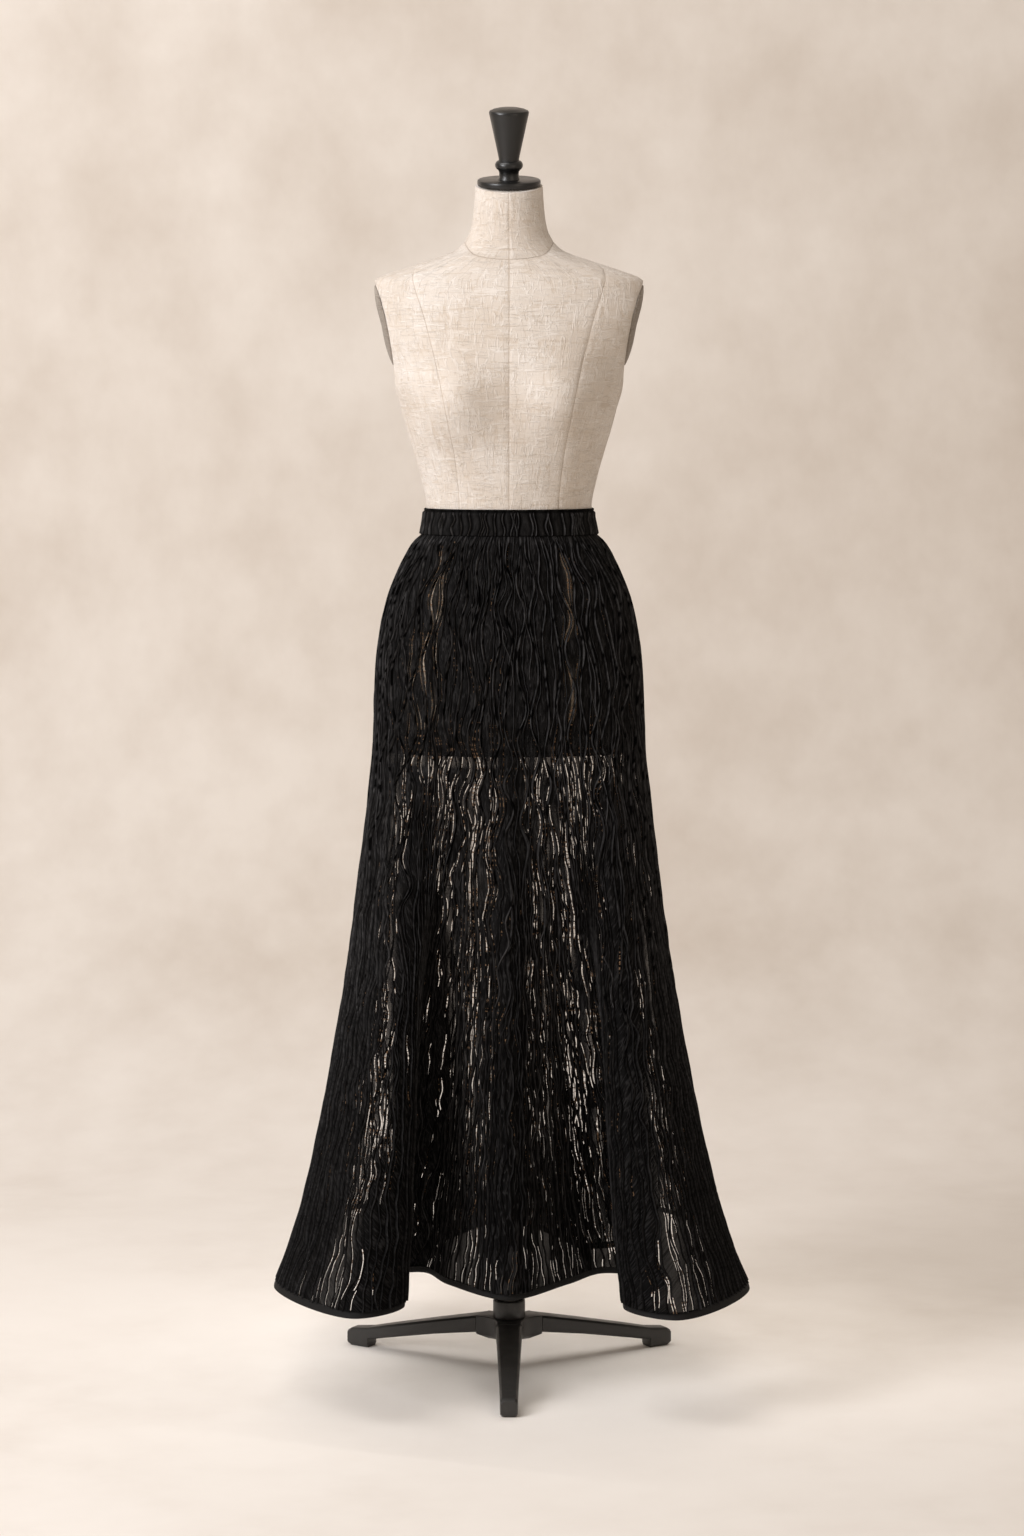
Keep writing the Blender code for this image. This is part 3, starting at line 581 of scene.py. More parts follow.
columns = SEAM_COUNT * PANEL_COLUMNS
steps = np.linspace(FORM[0].z, FORM[-1].z, FORM_ROWS + 1)
near = int(np.argmin(abs(steps - NECK_SEAM)))
steps[near - 1 : near + 2] = (NECK_SEAM - SEAM_HALF_WIDTH, NECK_SEAM, NECK_SEAM + SEAM_HALF_WIDTH)
bm, across, up, seam = flat_grid(columns, FORM_ROWS, "seam")
row_seams = [seam_turns(z) + [math.tau] for z in steps]
for vert in bm.verts:
    column, row = round(vert.co.x * columns), round(vert.co.y * FORM_ROWS)
    z, turns = steps[row], row_seams[row]
    panel, place = divmod(column, PANEL_COLUMNS)
    margin = SEAM_HALF_WIDTH / ((read(FORM, "half_width", z) + read(FORM, "front", z)) / 2)
    first, last = turns[panel % SEAM_COUNT], turns[panel % SEAM_COUNT + 1]
    on_seam = place == 0
    if on_seam:
        turn = first
    else:
        turn = first + margin + (last - first - 2 * margin) * (place - 1) / (PANEL_COLUMNS - 2)
    point = form_point(turn, z + dip(turn, z))
    past_side = panel in SIDE_SEAMS and z > SIDE_SEAM_TOP
    past_princess = panel % 2 == 1 and point.z > SHOULDER_SEAM
    sunk = row == near or (on_seam and not past_side and not past_princess)
    vert.co = point + Vector((-point.x, -point.y, 0.0)).normalized() * (SEAM_DEPTH if sunk else 0.0)
    from_front = (turn - 1.5 * math.pi + math.pi) % math.tau - math.pi
    vert[across] = from_front * (BODY_RADIUS if row <= near else NECK_RADIUS)
    vert[up] = point.z
    vert[seam] = 1.0 if sunk else 0.0
bmesh.ops.remove_doubles(bm, verts=bm.verts, dist=1e-6)
bmesh.ops.holes_fill(bm, edges=[edge for edge in bm.edges if edge.is_boundary], sides=0)
bmesh.ops.recalc_face_normals(bm, faces=bm.faces)
sewn("form_linen_cover", bm, raw_linen, smooth=60.0, node="form_torso", slot="linen")

# ---------------------------------------------------------------- the arm plates
# Each armhole is closed by a low oval board under a darker, greyer linen, domed from a rounded rim.

PLATE_CENTRE = 1.4960
PLATE_HALF_HEIGHT = 0.0560
PLATE_HALF_DEPTH = 0.0400
PLATE_SEAT = 0.0004
PLATE_COLUMNS = 72
PLATE_DOME = [(1.0, 0.0), (1.0, 0.0010), (0.985, 0.0020), (0.93, 0.0030), (0.82, 0.0048), (0.64, 0.0068)]
PLATE_DOME += [(0.45, 0.0080), (0.22, 0.0085)]
PLATE_LIT = (0.350, 0.310, 0.268)
PLATE_SHADE = (0.215, 0.182, 0.150)

plate_linen = linen("plate linen", PLATE_LIT, PLATE_SHADE, PLATE_SHADE)


def plate_ring(side, scale, out):
    """A ring of the plate's face: its share of the plate's size, and its height off the form."""
    middle = read(FORM, "half_width", PLATE_CENTRE)
    ring = []
    for k in range(PLATE_COLUMNS):
        turn = math.tau * k / PLATE_COLUMNS
        rise = math.sin(turn) * PLATE_HALF_HEIGHT
        rim = read(FORM, "half_width", PLATE_CENTRE + rise)
        x = middle + (rim - middle) * scale + PLATE_SEAT + out
        ring.append(Vector((side * x, math.cos(turn) * PLATE_HALF_DEPTH * scale, PLATE_CENTRE + rise * scale)))
    return ring


for side, word in ((-1, "left"), (1, "right")):
    bm = bmesh.new()
    for layer in ("across", "up", "seam"):
        bm.verts.layers.float.new(layer)
    bmesh.ops.create_circle(bm, cap_ends=True, radius=1.0, segments=PLATE_COLUMNS)
    face = bm.faces[:][0]
    for vert, point in zip(face.verts, plate_ring(side, *PLATE_DOME[0])):
        vert.co = point
    base = face
    for level in PLATE_DOME[1:]:
        raised = bmesh.ops.extrude_face_region(bm, geom=[face])["geom"]
        if face is not base:
            bmesh.ops.delete(bm, geom=[face], context="FACES_ONLY")
        face = next(part for part in raised if isinstance(part, bmesh.types.BMFace))
        for vert, point in zip(face.verts, plate_ring(side, *level)):
            vert.co = point
    bmesh.ops.poke(bm, faces=[face])
    for vert in bm.verts:
        vert[bm.verts.layers.float["across"]] = vert.co.y
        vert[bm.verts.layers.float["up"]] = vert.co.z
    bmesh.ops.recalc_face_normals(bm, faces=bm.faces)
    node = f"arm_plate_{word}"
    sewn(f"{node}_cover", bm, plate_linen, smooth=60.0, node=node, slot="plate_linen")

# ---------------------------------------------------------------- the neck disc and the finial
# Both are turned from wood and sprayed in satin black lacquer. They sit square on the neck's top, which
# leans forward.

NECK_TOP = 1.6900
NECK_LEAN = math.radians(11.0)
LACQUER = (0.0042, 0.0042, 0.0043)
DISC_OUTLINE = [(0.0, 0.0), (0.0425, 0.0), (0.0438, 0.0006), (0.0444, 0.0018), (0.0444, 0.0064)]
DISC_OUTLINE += [(0.0440, 0.0077), (0.0428, 0.0085), (0.0, 0.0085)]
FINIAL_FOOT = [(0.0, 0.0088), (0.0150, 0.0088), (0.0146, 0.0100), (0.0138, 0.0130), (0.0137, 0.0165)]
FINIAL_RING = [(0.0142, 0.0200), (0.0158, 0.0222), (0.0180, 0.0240), (0.0192, 0.0262), (0.0196, 0.0285)]
FINIAL_RING += [(0.0192, 0.0308), (0.0180, 0.0330), (0.0160, 0.0345), (0.0144, 0.0352)]
FINIAL_KNOB = [(0.0143, 0.0372), (0.0152, 0.0420), (0.0168, 0.0495), (0.0270, 0.0965), (0.0279, 0.1005)]
FINIAL_KNOB += [(0.0279, 0.1022), (0.0268, 0.1040), (0.0215, 0.1063), (0.0150, 0.1078), (0.0, 0.1090)]

lacquer = material(
    "satin black lacquer", LACQUER, 0.36, Specular_IOR_Level=0.5, Coat_Weight=0.15, Coat_Roughness=0.25
)
tree = lacquer.node_tree
feed(lacquer, "Roughness", spread(tree, noise_at(tree, object_place(tree), 45.0, 4.0), 0.3, 0.7, 0.31, 0.42))
feed(lacquer, "Normal", bumped(tree, noise_at(tree, object_place(tree), 420.0), 0.00006, 0.6))

lean = Matrix.Translation((0, 0, NECK_TOP + SEAM_GAP)) @ Matrix.Rotation(NECK_LEAN, 4, "X")
for name, outline, node in (
    ("neck_disc_turned", DISC_OUTLINE, "neck_disc"),
    ("finial_turned", FINIAL_FOOT + FINIAL_RING + FINIAL_KNOB, "finial"),
):
    bm = turned(outline, 96)
    bmesh.ops.transform(bm, matrix=lean, verts=bm.verts)
    finished(name, bm, lacquer, smooth=35.0, node=node, slot="lacquer")

# ---------------------------------------------------------------- the lining
# A straight slip of thin opaque black cloth hangs inside the lace from the waist to the high thigh. Its hem
# is turned up once and shows as a straight edge through the lace.

# The skirt's oval at each height, and how far it has turned into the flutes of the hem there.
SkirtRow = namedtuple("SkirtRow", "z half_width half_depth fluting", defaults=(0.1945, 0.1240, 0.0))
SKIRT = [
    SkirtRow(1.2017, 0.1254, 0.0895),
    SkirtRow(1.1880, 0.1370, 0.0960),
    SkirtRow(1.1660, 0.1490, 0.1020),
    SkirtRow(1.1380, 0.1620, 0.1075),
    SkirtRow(1.1100, 0.1720, 0.1115),
    SkirtRow(1.0700, 0.1808, 0.1150),
    SkirtRow(1.0250, 0.1870, 0.1180),
    SkirtRow(0.9670, 0.1903, 0.1200),
    SkirtRow(0.9000, 0.1920, 0.1220, 0.004),
    SkirtRow(0.8250, fluting=0.050),
    SkirtRow(0.7390, fluting=0.135),
    SkirtRow(0.6230, fluting=0.250),
    SkirtRow(0.5080, fluting=0.385),
    SkirtRow(0.3910, fluting=0.535),
    SkirtRow(0.2750, fluting=0.715),
    SkirtRow(0.2000, fluting=0.875),
    SkirtRow(0.1550, fluting=1.0),
]
HIP = SKIRT[7]
BAND_BOTTOM = 1.2020
LINING_HEM = 0.8970
LINING_TURN_UP = 0.0180
TURN_UP_WALL = 0.0006
LINING_CLEAR_TOP = 0.0019  # how far the slip hangs inside the lace under the band, and from here down
LINING_CLEAR = 0.0065
CLEAR_FROM = 0.2
LINING_WALL = 0.0009
LINING_ROWS = 60
LINING_COLUMNS = 320
SLIP = (0.0075, 0.0070, 0.0070)


class Ring:
    """A closed plan curve, read by the share of its length from the left seam round the front."""

    def __init__(self, points, right_seam):
        self.points = np.array(points)
        gaps = np.linalg.norm(np.diff(self.points, axis=0), axis=1)
        self.length = np.concatenate([[0.0], np.cumsum(gaps)])
        self.half = self.length[right_seam]

    def at(self, shares):
        """Shares 0 to 0.5 are the front, left to right, and 0.5 to 1 the back, right to left."""
        shares = np.mod(shares, 1.0)
        behind = self.half + (shares - 0.5) * 2 * (self.length[-1] - self.half)
        run = np.where(shares < 0.5, shares * 2 * self.half, behind)
        return np.stack([np.interp(run, self.length, self.points[:, axis]) for axis in (0, 1)], axis=-1)


quarters = [math.pi + math.tau * k / 720 for k in range(721)]
HIP_RING = Ring([(HIP.half_width * math.cos(t), HIP.half_depth * math.sin(t)) for t in quarters], 360)


def oval(shares, half_width, half_depth):
    """Points of an oval of that size, at the same shares of the girth as on the hip's oval."""
    return HIP_RING.at(shares) / (HIP.half_width, HIP.half_depth) * (half_width, half_depth)


# Long places where the slip has worn so thin that the linen shows through: the place across the front from
# the left seam to the right, at the top and at the foot of each, its height there, and its half width.
Worn = namedtuple("Worn", "top foot z_top z_foot half_width")
WORN_PLACES = [
    Worn(0.246, 0.230, 1.190, 0.935, 0.026),
    Worn(0.262, 0.290, 1.150, 0.940, 0.020),
    Worn(0.192, 0.196, 1.060, 0.930, 0.018),
    Worn(0.702, 0.676, 1.180, 0.945, 0.024),
    Worn(0.628, 0.593, 1.150, 1.030, 0.012),
]
# Partly real and partly painted light: the linen showing through is painted as pale as the bare linen, to make up
# for the shade inside the lace.
WORN_TONE_AND_PAINTED_LIGHT = (0.800, 0.660, 0.520)

slip_cloth = material("black slip cloth", SLIP, 0.62, Specular_IOR_Level=0.12)
tree = slip_cloth.node_tree
fine = noise_at(tree, cloth_place(tree, (1.0, 0.12, 1.0)), 900.0)
feed(slip_cloth, "Base Color", mixed(tree, mark(tree, "thin"), SLIP, WORN_TONE_AND_PAINTED_LIGHT))
feed(slip_cloth, "Normal", bumped(tree, fine, 0.00015, 0.7))

bm, across, up, thin = flat_grid(LINING_COLUMNS, LINING_ROWS, "thin")
for vert in bm.verts:
    share, down = vert.co.x, 1.0 - vert.co.y
    z = BAND_BOTTOM - SEAM_GAP + (LINING_HEM - BAND_BOTTOM + SEAM_GAP) * down
    clear = LINING_CLEAR_TOP + (LINING_CLEAR - LINING_CLEAR_TOP) * min(down / CLEAR_FROM, 1.0) ** 0.8
    clear -= TURN_UP_WALL if z < LINING_HEM + LINING_TURN_UP else 0.0
    x, y = oval(share, read(SKIRT, "half_width", z) - clear, read(SKIRT, "half_depth", z) - clear)
    vert.co = Vector((x, y, z))
    vert[across], vert[up] = share, z
    for worn in WORN_PLACES:
        t = (worn.z_top - z) / (worn.z_top - worn.z_foot)
        if 0 < t < 1:
            middle = worn.top + (worn.foot - worn.top) * t
            strength = math.exp(-(((2 * share - middle) / worn.half_width) ** 2)) * math.sin(math.pi * t) ** 0.3
            vert[thin] = max(vert[thin], strength)
slip = sewn("lining_slip", closed_up(bm), slip_cloth, smooth=60.0, node="lining", slot="lining")
wall = slip.modifiers.new("wall", "SOLIDIFY")
wall.thickness = LINING_WALL
wall.offset = -1.0

# ---------------------------------------------------------------- the skirt's lace
# Two flared panels of black crinkled lace, joined at the sides. Stout raised cords wander down the cloth and
# meet and part in long cells, with finer cords between them and more branching off as the skirt widens. The
# ground between is a sheer net, torn open in slits along the cords, with a few threads left across each.

HemPoint = namedtuple("HemPoint", "place x y")
HEM = [
    HemPoint("left seam", -0.306, 0.010),
    HemPoint("left flute, outer side", -0.326, -0.172),
    HemPoint("left flute, crest", -0.210, -0.334),
    HemPoint("left flute, inner turn", -0.144, -0.272),
    HemPoint("left flute, neck", -0.205, -0.118),
    HemPoint("left valley", -0.125, -0.066),
    HemPoint("centre flute, left side", -0.086, -0.140),
    HemPoint("centre flute, crest", 0.000, -0.231),
    HemPoint("centre flute, right side", 0.084, -0.138),
    HemPoint("right valley", 0.137, -0.072),
    HemPoint("right flute, neck", 0.218, -0.124),
    HemPoint("right flute, inner turn", 0.158, -0.283),
    HemPoint("right flute, crest", 0.229, -0.343),
    HemPoint("right flute, outer side", 0.334, -0.182),
    HemPoint("right seam", 0.306, 0.014),
    HemPoint("right back flute, outer side", 0.303, 0.170),
    HemPoint("right back flute, crest", 0.222, 0.330),
    HemPoint("right back flute, inner turn", 0.150, 0.258),
    HemPoint("right back flute, neck", 0.190, 0.122),
    HemPoint("right back valley", 0.110, 0.080),
    HemPoint("centre back flute, right side", 0.070, 0.160),
    HemPoint("centre back flute, crest", -0.008, 0.262),
    HemPoint("centre back flute, left side", -0.082, 0.156),
    HemPoint("left back valley", -0.128, 0.078),
    HemPoint("left back flute, neck", -0.204, 0.124),
    HemPoint("left back flute, inner turn", -0.158, 0.274),
    HemPoint("left back flute, crest", -0.222, 0.3497),
    HemPoint("left back flute, outer side", -0.302, 0.190),
]
SKIRT_HEM = 0.1550
BINDING_DEPTH = 0.0090
BINDING_LAP = 0.0006  # how far the binding reaches up over the panel's foot
TUCK = 0.0018  # how far the top edge lies inside the band
SIDE_EDGE = 0.0001  # how far each panel stops short of the side seam, as a share of the way round
SEAM_SINK = -0.0004
LACE_ROWS = 165
SPACE_COLUMNS = 5  # a cord's crown and foot, the two shoulders of the net, and the next cord's foot
STOUT_CORDS = 28  # the spaces between stout cords at the waist; at the hem there are three times as many
STOUT_HALF_WIDTH = 0.00190
STOUT_HEIGHT = 0.0027
FINE_HALF_WIDTH = 0.00140
FINE_HEIGHT = 0.0020
FINE_ROOM = 0.006  # a fine cord has its own height where its neighbours lie this far apart
FINE_LEAN = (0.32, 0.50, 0.50, 0.68)  # where a fine cord may run between its neighbours, and how far it sways
FINE_SWAY = 0.14
UNEVEN = 0.3  # how much a cord's thickness changes, and over what lengths
UNEVEN_LENGTH = (0.04, 0.15)
FOOT_SINK = 0.0006
PUFF = 0.0007  # how far the net bulges between its cords, where they lie PUFF_ROOM apart
PUFF_ROOM = 0.005
SLACK = 0.55  # how much of the bulge is left beside a slit
SHOULDER = 0.0009  # how far from a cord's foot the bulge begins
CELL_LENGTH = 0.115
CELL_SWELL = 0.40  # how far a stout cord sways, as a share of the space to its neighbour
CELL_DRIFT = 1.5  # how far the cells slip up and down, over the whole panel and along each cord
PANEL_DRIFT_LENGTH = (0.30, 0.60)
CORD_DRIFT_LENGTH = (0.12, 0.35)
HOME_SHIFT = 0.14  # this one and the next two are shares of the space between two cords at the hem
LEAST_SPACE = 0.10
CLASH_SPACE = 0.12
BRANCH_LENGTH = 0.15
BRANCHES = ((0.99, 0.68), (0.86, 0.42))  # between which heights the first and second branch leaves
KINK = (0.0012, 0.0018)  # the short crooks in every cord, at the waist and at the hem
KINK_LENGTH = (0.022, 0.050)
CRINKLE = 0.0010
CRINKLES = (28.0, 11.0)  # how many to a metre, across and down
DRAWN_FROM = 0.95  # the cloth's own weight draws it out below this height, fully after DRAWN_OVER
DRAWN_OVER = 0.7
CALM = 0.50  # how much less the cords sway where it does
HEM_PAINTED_SHADE = 0.45  # and how much darker the painted highlights on their crowns are there: painted shade, darker towards the hem
CROWN_HIGHLIGHT = (0.85, 0.62)  # how pale the painted highlight on the crown of a stout and of a fine cord is, and how much that changes
CROWN_HIGHLIGHT_CHANGE = 0.25
# How pale the net is painted where it bulges between the cords, a painted highlight.
NET_PUFF_HIGHLIGHT = 0.14
# How much of the painted highlight the side seams carry.
SEAM_HIGHLIGHT = 0.3

# The slits. They run down both sides of the cords, in lengths with whole cloth between them.
SLIT_GAPS = (0.005, 0.022)
WHOLE_LENGTH = (0.020, 0.050)
SLIT_LENGTH = (0.016, 0.050)
LONG_SLIT_LENGTH = (0.035, 0.100)
LONG_SLITS = 0.4  # where more than this share of the cords is slit, the slits are long
SLIT_FULLNESS = (0.45, 1.0)
SLIT_PROBE = 0.02  # how far down from a slit's upper end its place is judged
LEAST_NET = 0.0014  # the narrowest net that is slit, and how much of it may be open
MOST_OPEN = 0.8
SINGLE_LAYER = 0.30  # below this height nothing hangs behind the front, so its slits are fewer and narrower
SINGLE_SHARE = 0.85
SINGLE_WIDTH = 0.54
SINGLE_SHEER = 0.32
WIDE_BELOW = 0.66  # below this height the cloth hangs more open, so its slits are wider
WIDER = 1.3
HEM_OPENINGS = 0.215  # below this height stray slits are more common
HEM_EXTRA = 0.12
UPPER_OPENINGS = 0.74  # and above this one, up to the lining
UPPER_EXTRA = 1.15
SHOWN_FROM = 0.9350  # the slits below the lining begin a little inside it, so that its hem cuts them off
HIDDEN_SHARE = 0.06  # the few slits above that height, in front of the lining
HIDDEN_WIDTH = 0.0012

# A few thin cords lie over the others and drift across them.
CROSSING_CORDS = 40
CROSSING_LENGTH = (0.07, 0.26)
CROSSING_TOP = (0.40, 1.175)
CROSSING_DRIFT = (0.05, 0.16)
CROSSING_START = (0.04, 0.96)
CROSSING_WAVE = (0.05, 0.11)
CROSSING_BOW = 0.0030
CROSSING_STEP = 0.008
CROSSING_HALF_WIDTH = 0.0012
CROSSING_CREST = 0.0023
CROSSING_FOOT = 0.0003
CROSSING_EDGE = 0.004  # how far from the side seams they stay

# Soft folds that run down a panel: the place across at the top and at the hem, the height where each
# begins, its half width as a share of the panel, and how far it stands out.
Fold = namedtuple("Fold", "top hem begins half_width rise")
FRONT_FOLDS = [
    Fold(0.508, 0.494, 0.95, 0.024, 0.0050),
    Fold(0.228, 0.224, 0.90, 0.034, 0.0045),
    Fold(0.788, 0.775, 0.92, 0.032, 0.0045),
    Fold(0.345, 0.372, 0.80, 0.022, -0.0035),
    Fold(0.655, 0.668, 0.80, 0.022, -0.0035),
]
BACK_FOLDS = [
    Fold(0.492, 0.490, 0.95, 0.026, 0.0045),
    Fold(0.775, 0.760, 0.90, 0.034, 0.0045),
    Fold(0.200, 0.195, 0.92, 0.032, 0.0045),
    Fold(0.660, 0.640, 0.80, 0.022, -0.0035),
    Fold(0.345, 0.350, 0.80, 0.022, -0.0035),
]
FULL_FOLD = 0.0045  # the rise of a full fold, where its painted shade and its effect on slits are whole
FOLD_START = 0.12  # over how much height a fold rises
FOLD_SHADE = 0.35  # painted shade: how much darker the cords' painted highlight is on the ridge of a fold
FOLD_CLOSES = 1.1  # how much less common slits are there, but never under FOLD_LEAST
FOLD_LEAST = 0.06

# Long columns of cells where the lace is torn open: the heights between which a column runs, its place
# across the panel at both, its half width there, the share of its cords that are slit, and the widest slit.
Opening = namedtuple("Opening", "z_top z_foot top foot half_width share widest")
FRONT_OPENINGS = [
    Opening(0.935, 0.150, 0.398, 0.458, 0.012, 0.85, 0.0029),
    Opening(0.935, 0.600, 0.300, 0.385, 0.007, 0.38, 0.0014),
    Opening(0.600, 0.150, 0.385, 0.436, 0.008, 0.42, 0.0016),
    Opening(0.935, 0.150, 0.598, 0.530, 0.009, 0.55, 0.0018),
    Opening(0.935, 0.440, 0.644, 0.600, 0.007, 0.45, 0.0016),
    Opening(0.935, 0.440, 0.700, 0.628, 0.008, 0.48, 0.0017),
    Opening(0.400, 0.150, 0.636, 0.606, 0.010, 0.50, 0.0017),
    Opening(0.935, 0.360, 0.170, 0.206, 0.011, 0.45, 0.0015),
    Opening(0.520, 0.150, 0.198, 0.170, 0.012, 0.75, 0.0022),
    Opening(0.935, 0.500, 0.905, 0.820, 0.010, 0.40, 0.0014),
    Opening(0.540, 0.150, 0.822, 0.803, 0.013, 0.65, 0.0020),
    Opening(1.190, 0.935, 0.246, 0.230, 0.009, 0.95, 0.0028),
    Opening(1.150, 0.940, 0.266, 0.290, 0.007, 0.90, 0.0024),
    Opening(1.060, 0.930, 0.192, 0.196, 0.008, 0.80, 0.0020),
    Opening(1.180, 0.945, 0.702, 0.676, 0.013, 0.95, 0.0036),
    Opening(1.150, 1.030, 0.628, 0.593, 0.007, 0.60, 0.0018),
    Opening(0.926, 0.885, 0.500, 0.500, 0.400, 0.39, 0.0015),
]
BACK_OPENINGS = [
    Opening(0.935, 0.150, 0.590, 0.540, 0.040, 0.80, 0.0040),
    Opening(0.935, 0.150, 0.672, 0.568, 0.030, 0.80, 0.0040),
    Opening(0.935, 0.150, 0.400, 0.436, 0.038, 0.80, 0.0040),
    Opening(0.935, 0.150, 0.350, 0.362, 0.026, 0.80, 0.0036),
    Opening(0.935, 0.150, 0.312, 0.246, 0.034, 0.80, 0.0040),
    Opening(0.935, 0.150, 0.825, 0.805, 0.040, 0.80, 0.0040),
    Opening(0.905, 0.840, 0.500, 0.500, 0.400, 0.45, 0.0030),
    Opening(0.935, 0.150, 0.098, 0.155, 0.040, 0.80, 0.0040),
    Opening(1.165, 0.980, 0.240, 0.300, 0.009, 0.50, 0.0020),
    Opening(1.165, 0.980, 0.760, 0.720, 0.009, 0.50, 0.0020),
]
# How common and how wide slits are outside the columns. SLIT_REACH either side of the panel's middle they
# thin out, over STRAY_FADE, to the few that are left at the panel's sides.
SLIT_MIDDLE = 0.50
SLIT_REACH = 0.30
STRAY_SLITS = 0.50
STRAY_FADE = 0.05
STRAYS_LEFT = 0.05
STRAY_WIDTH = 0.0015
THIN_WHERE_TORN = 0.22  # how much thinner the cords are inside a column

# The yarn's two colours: painted shade at the feet of the cords, and a painted highlight on their crowns.
CORD_CROWN_HIGHLIGHT = (0.0600, 0.0580, 0.0590)
CORD_FOOT = (0.0006, 0.0005, 0.0005)
# The threads' warm brown is painted light, far paler than the black yarn, for the light that glows through the
# slits.
SLIT_THREAD_PAINTED_LIGHT = (0.1450, 0.0880, 0.0500)


def smooth_closed(points, per_span=24):
    """A closed centripetal curve through the points, with per_span steps between each pair."""
    count = len(points)
    out = []
    for i in range(count):
        p0, p1, p2, p3 = (np.array(points[(i + k) % count]) for k in (-1, 0, 1, 2))
        t0 = 0.0
        t1 = t0 + math.sqrt(np.linalg.norm(p1 - p0))
        t2 = t1 + math.sqrt(np.linalg.norm(p2 - p1))
        t3 = t2 + math.sqrt(np.linalg.norm(p3 - p2))
        for step in range(per_span):
            t = t1 + (t2 - t1) * step / per_span
            a1 = (t1 - t) / (t1 - t0) * p0 + (t - t0) / (t1 - t0) * p1
            a2 = (t2 - t) / (t2 - t1) * p1 + (t - t1) / (t2 - t1) * p2
            a3 = (t3 - t) / (t3 - t2) * p2 + (t - t2) / (t3 - t2) * p3
            b1 = (t2 - t) / (t2 - t0) * a1 + (t - t0) / (t2 - t0) * a2
            b2 = (t3 - t) / (t3 - t1) * a2 + (t - t1) / (t3 - t1) * a3
            out.append((t2 - t) / (t2 - t1) * b1 + (t - t1) / (t2 - t1) * b2)
    out.append(out[0])
    return out


HEM_STEPS = 24
HEM_RING = Ring(
    smooth_closed([(p.x, p.y) for p in HEM], HEM_STEPS),
    HEM_STEPS * [p.place for p in HEM].index("right seam"),
)


def skirt_points(shares, z):
    """Points of the skirt's face: the oval over the hips, turning into the flutes of the hem."""
    start = oval(shares, read(SKIRT, "half_width", z), read(SKIRT, "half_depth", z))
    return start + read(SKIRT, "fluting", z) * (HEM_RING.at(shares) - start)


def skirt_outward(shares, z):
    """The level directions that point straight out of the skirt's face."""
    ahead = skirt_points(shares + 0.0008, z) - skirt_points(shares - 0.0008, z)
    out = np.stack([ahead[:, 1], -ahead[:, 0]], axis=-1)
    return out / np.linalg.norm(out, axis=1, keepdims=True)


def eased(t):
    """A smooth step from 0 to 1."""
    t = np.clip(t, 0.0, 1.0)
    return t * t * (3 - 2 * t)


def drawn_down(heights):
    """How far the cloth's own weight draws it out, from 0 at the hips to 1 near the hem."""
    return eased((DRAWN_FROM - heights) / DRAWN_OVER)


def wandering(chance, heights, shortest, longest):
    """A smooth random line between -1 and 1 along the heights."""
    total = np.zeros(len(heights))
    for _ in range(3):
        wave = chance.uniform(shortest, longest)
        total += np.sin(math.tau * heights / wave + chance.uniform(0, math.tau)) / 3
    return total


def stout_places(chance, heights, spaces):
    """The places of the stout cords and of their two branches, and how far each has grown at each height."""
    wide, narrow = 1.0 / spaces, 1.0 / (3 * spaces)
    count = 3 * spaces + 1
    born = []
    for j in range(count):
        if j % 3 == 0:
            born.append(np.ones(len(heights)))
        else:
            high, low = BRANCHES[j % 3 - 1]
            born.append(eased((chance.uniform(low, high) - heights) / BRANCH_LENGTH))
    sway = math.tau * heights / CELL_LENGTH + CELL_DRIFT * wandering(chance, heights, *PANEL_DRIFT_LENGTH)
    calm = 1 - CALM * drawn_down(heights)
    swing, phase = [], 0.0
    for _ in range(count):
        phase += math.pi + chance.gauss(0.0, 1.0)
        drift = CELL_DRIFT * wandering(chance, heights, *CORD_DRIFT_LENGTH)
        swing.append(calm * np.sin(sway + phase + drift))
    strength = [chance.uniform(0.45, 1.1) for _ in range(count)]
    places = [None] * count
    for k in range(spaces + 1):
        j = 3 * k
        if k in (0, spaces):
            places[j] = np.full(len(heights), k / spaces)
            continue
        to_right = wide + (narrow - wide) * born[j + 1]
        to_left = wide + (narrow - wide) * born[j - 1]
        home = k / spaces + chance.uniform(-HOME_SHIFT, HOME_SHIFT) * narrow
        places[j] = home + CELL_SWELL * strength[j] * np.minimum(to_left, to_right) * swing[j]
    for k in range(spaces):
        left, right = places[3 * k], places[3 * k + 3]
        one, two = 3 * k + 1, 3 * k + 2
        first_own = left + (right - left) / 3 + CELL_SWELL * strength[one] * narrow * swing[one]
        second_own = right - (right - left) / 3 + CELL_SWELL * strength[two] * narrow * swing[two]
        first = left + np.maximum(first_own - left, LEAST_SPACE * narrow) * born[one]
        second = right - np.maximum(right - second_own, LEAST_SPACE * narrow) * born[two]
        grown = born[one] + born[two] + 1e-9
        clash = np.maximum(first + CLASH_SPACE * narrow * np.minimum(born[one], born[two]) - second, 0.0)
        places[one] = first - clash * born[one] / grown
        places[two] = second + clash * born[two] / grown
    return places, born


def fold_rise(folds, places, z):
    """How far the folds lift the cloth at some places across the panel at height z."""
    t = (SKIRT[0].z - z) / (SKIRT[0].z - SKIRT_HEM)
    lift = np.zeros(len(places))
    for fold in folds:
        centre = fold.top + (fold.hem - fold.top) * t
        ridge = fold.rise * np.exp(-(((places - centre) / fold.half_width) ** 2))
        lift += ridge * eased((fold.begins - z) / FOLD_START)
    return lift


def column_share(opening, place, z):
    """How far inside a column of openings a place is, from 0 to 1."""
    if not opening.z_foot < z < opening.z_top:
        return 0.0
    t = (opening.z_top - z) / (opening.z_top - opening.z_foot)
    middle = opening.top + (opening.foot - opening.top) * t
    return math.exp(-(((place - middle) / opening.half_width) ** 4))


def most_inside(openings, place, z):
    """How far inside any column of openings a place is."""
    return max(column_share(opening, place, z) for opening in openings)


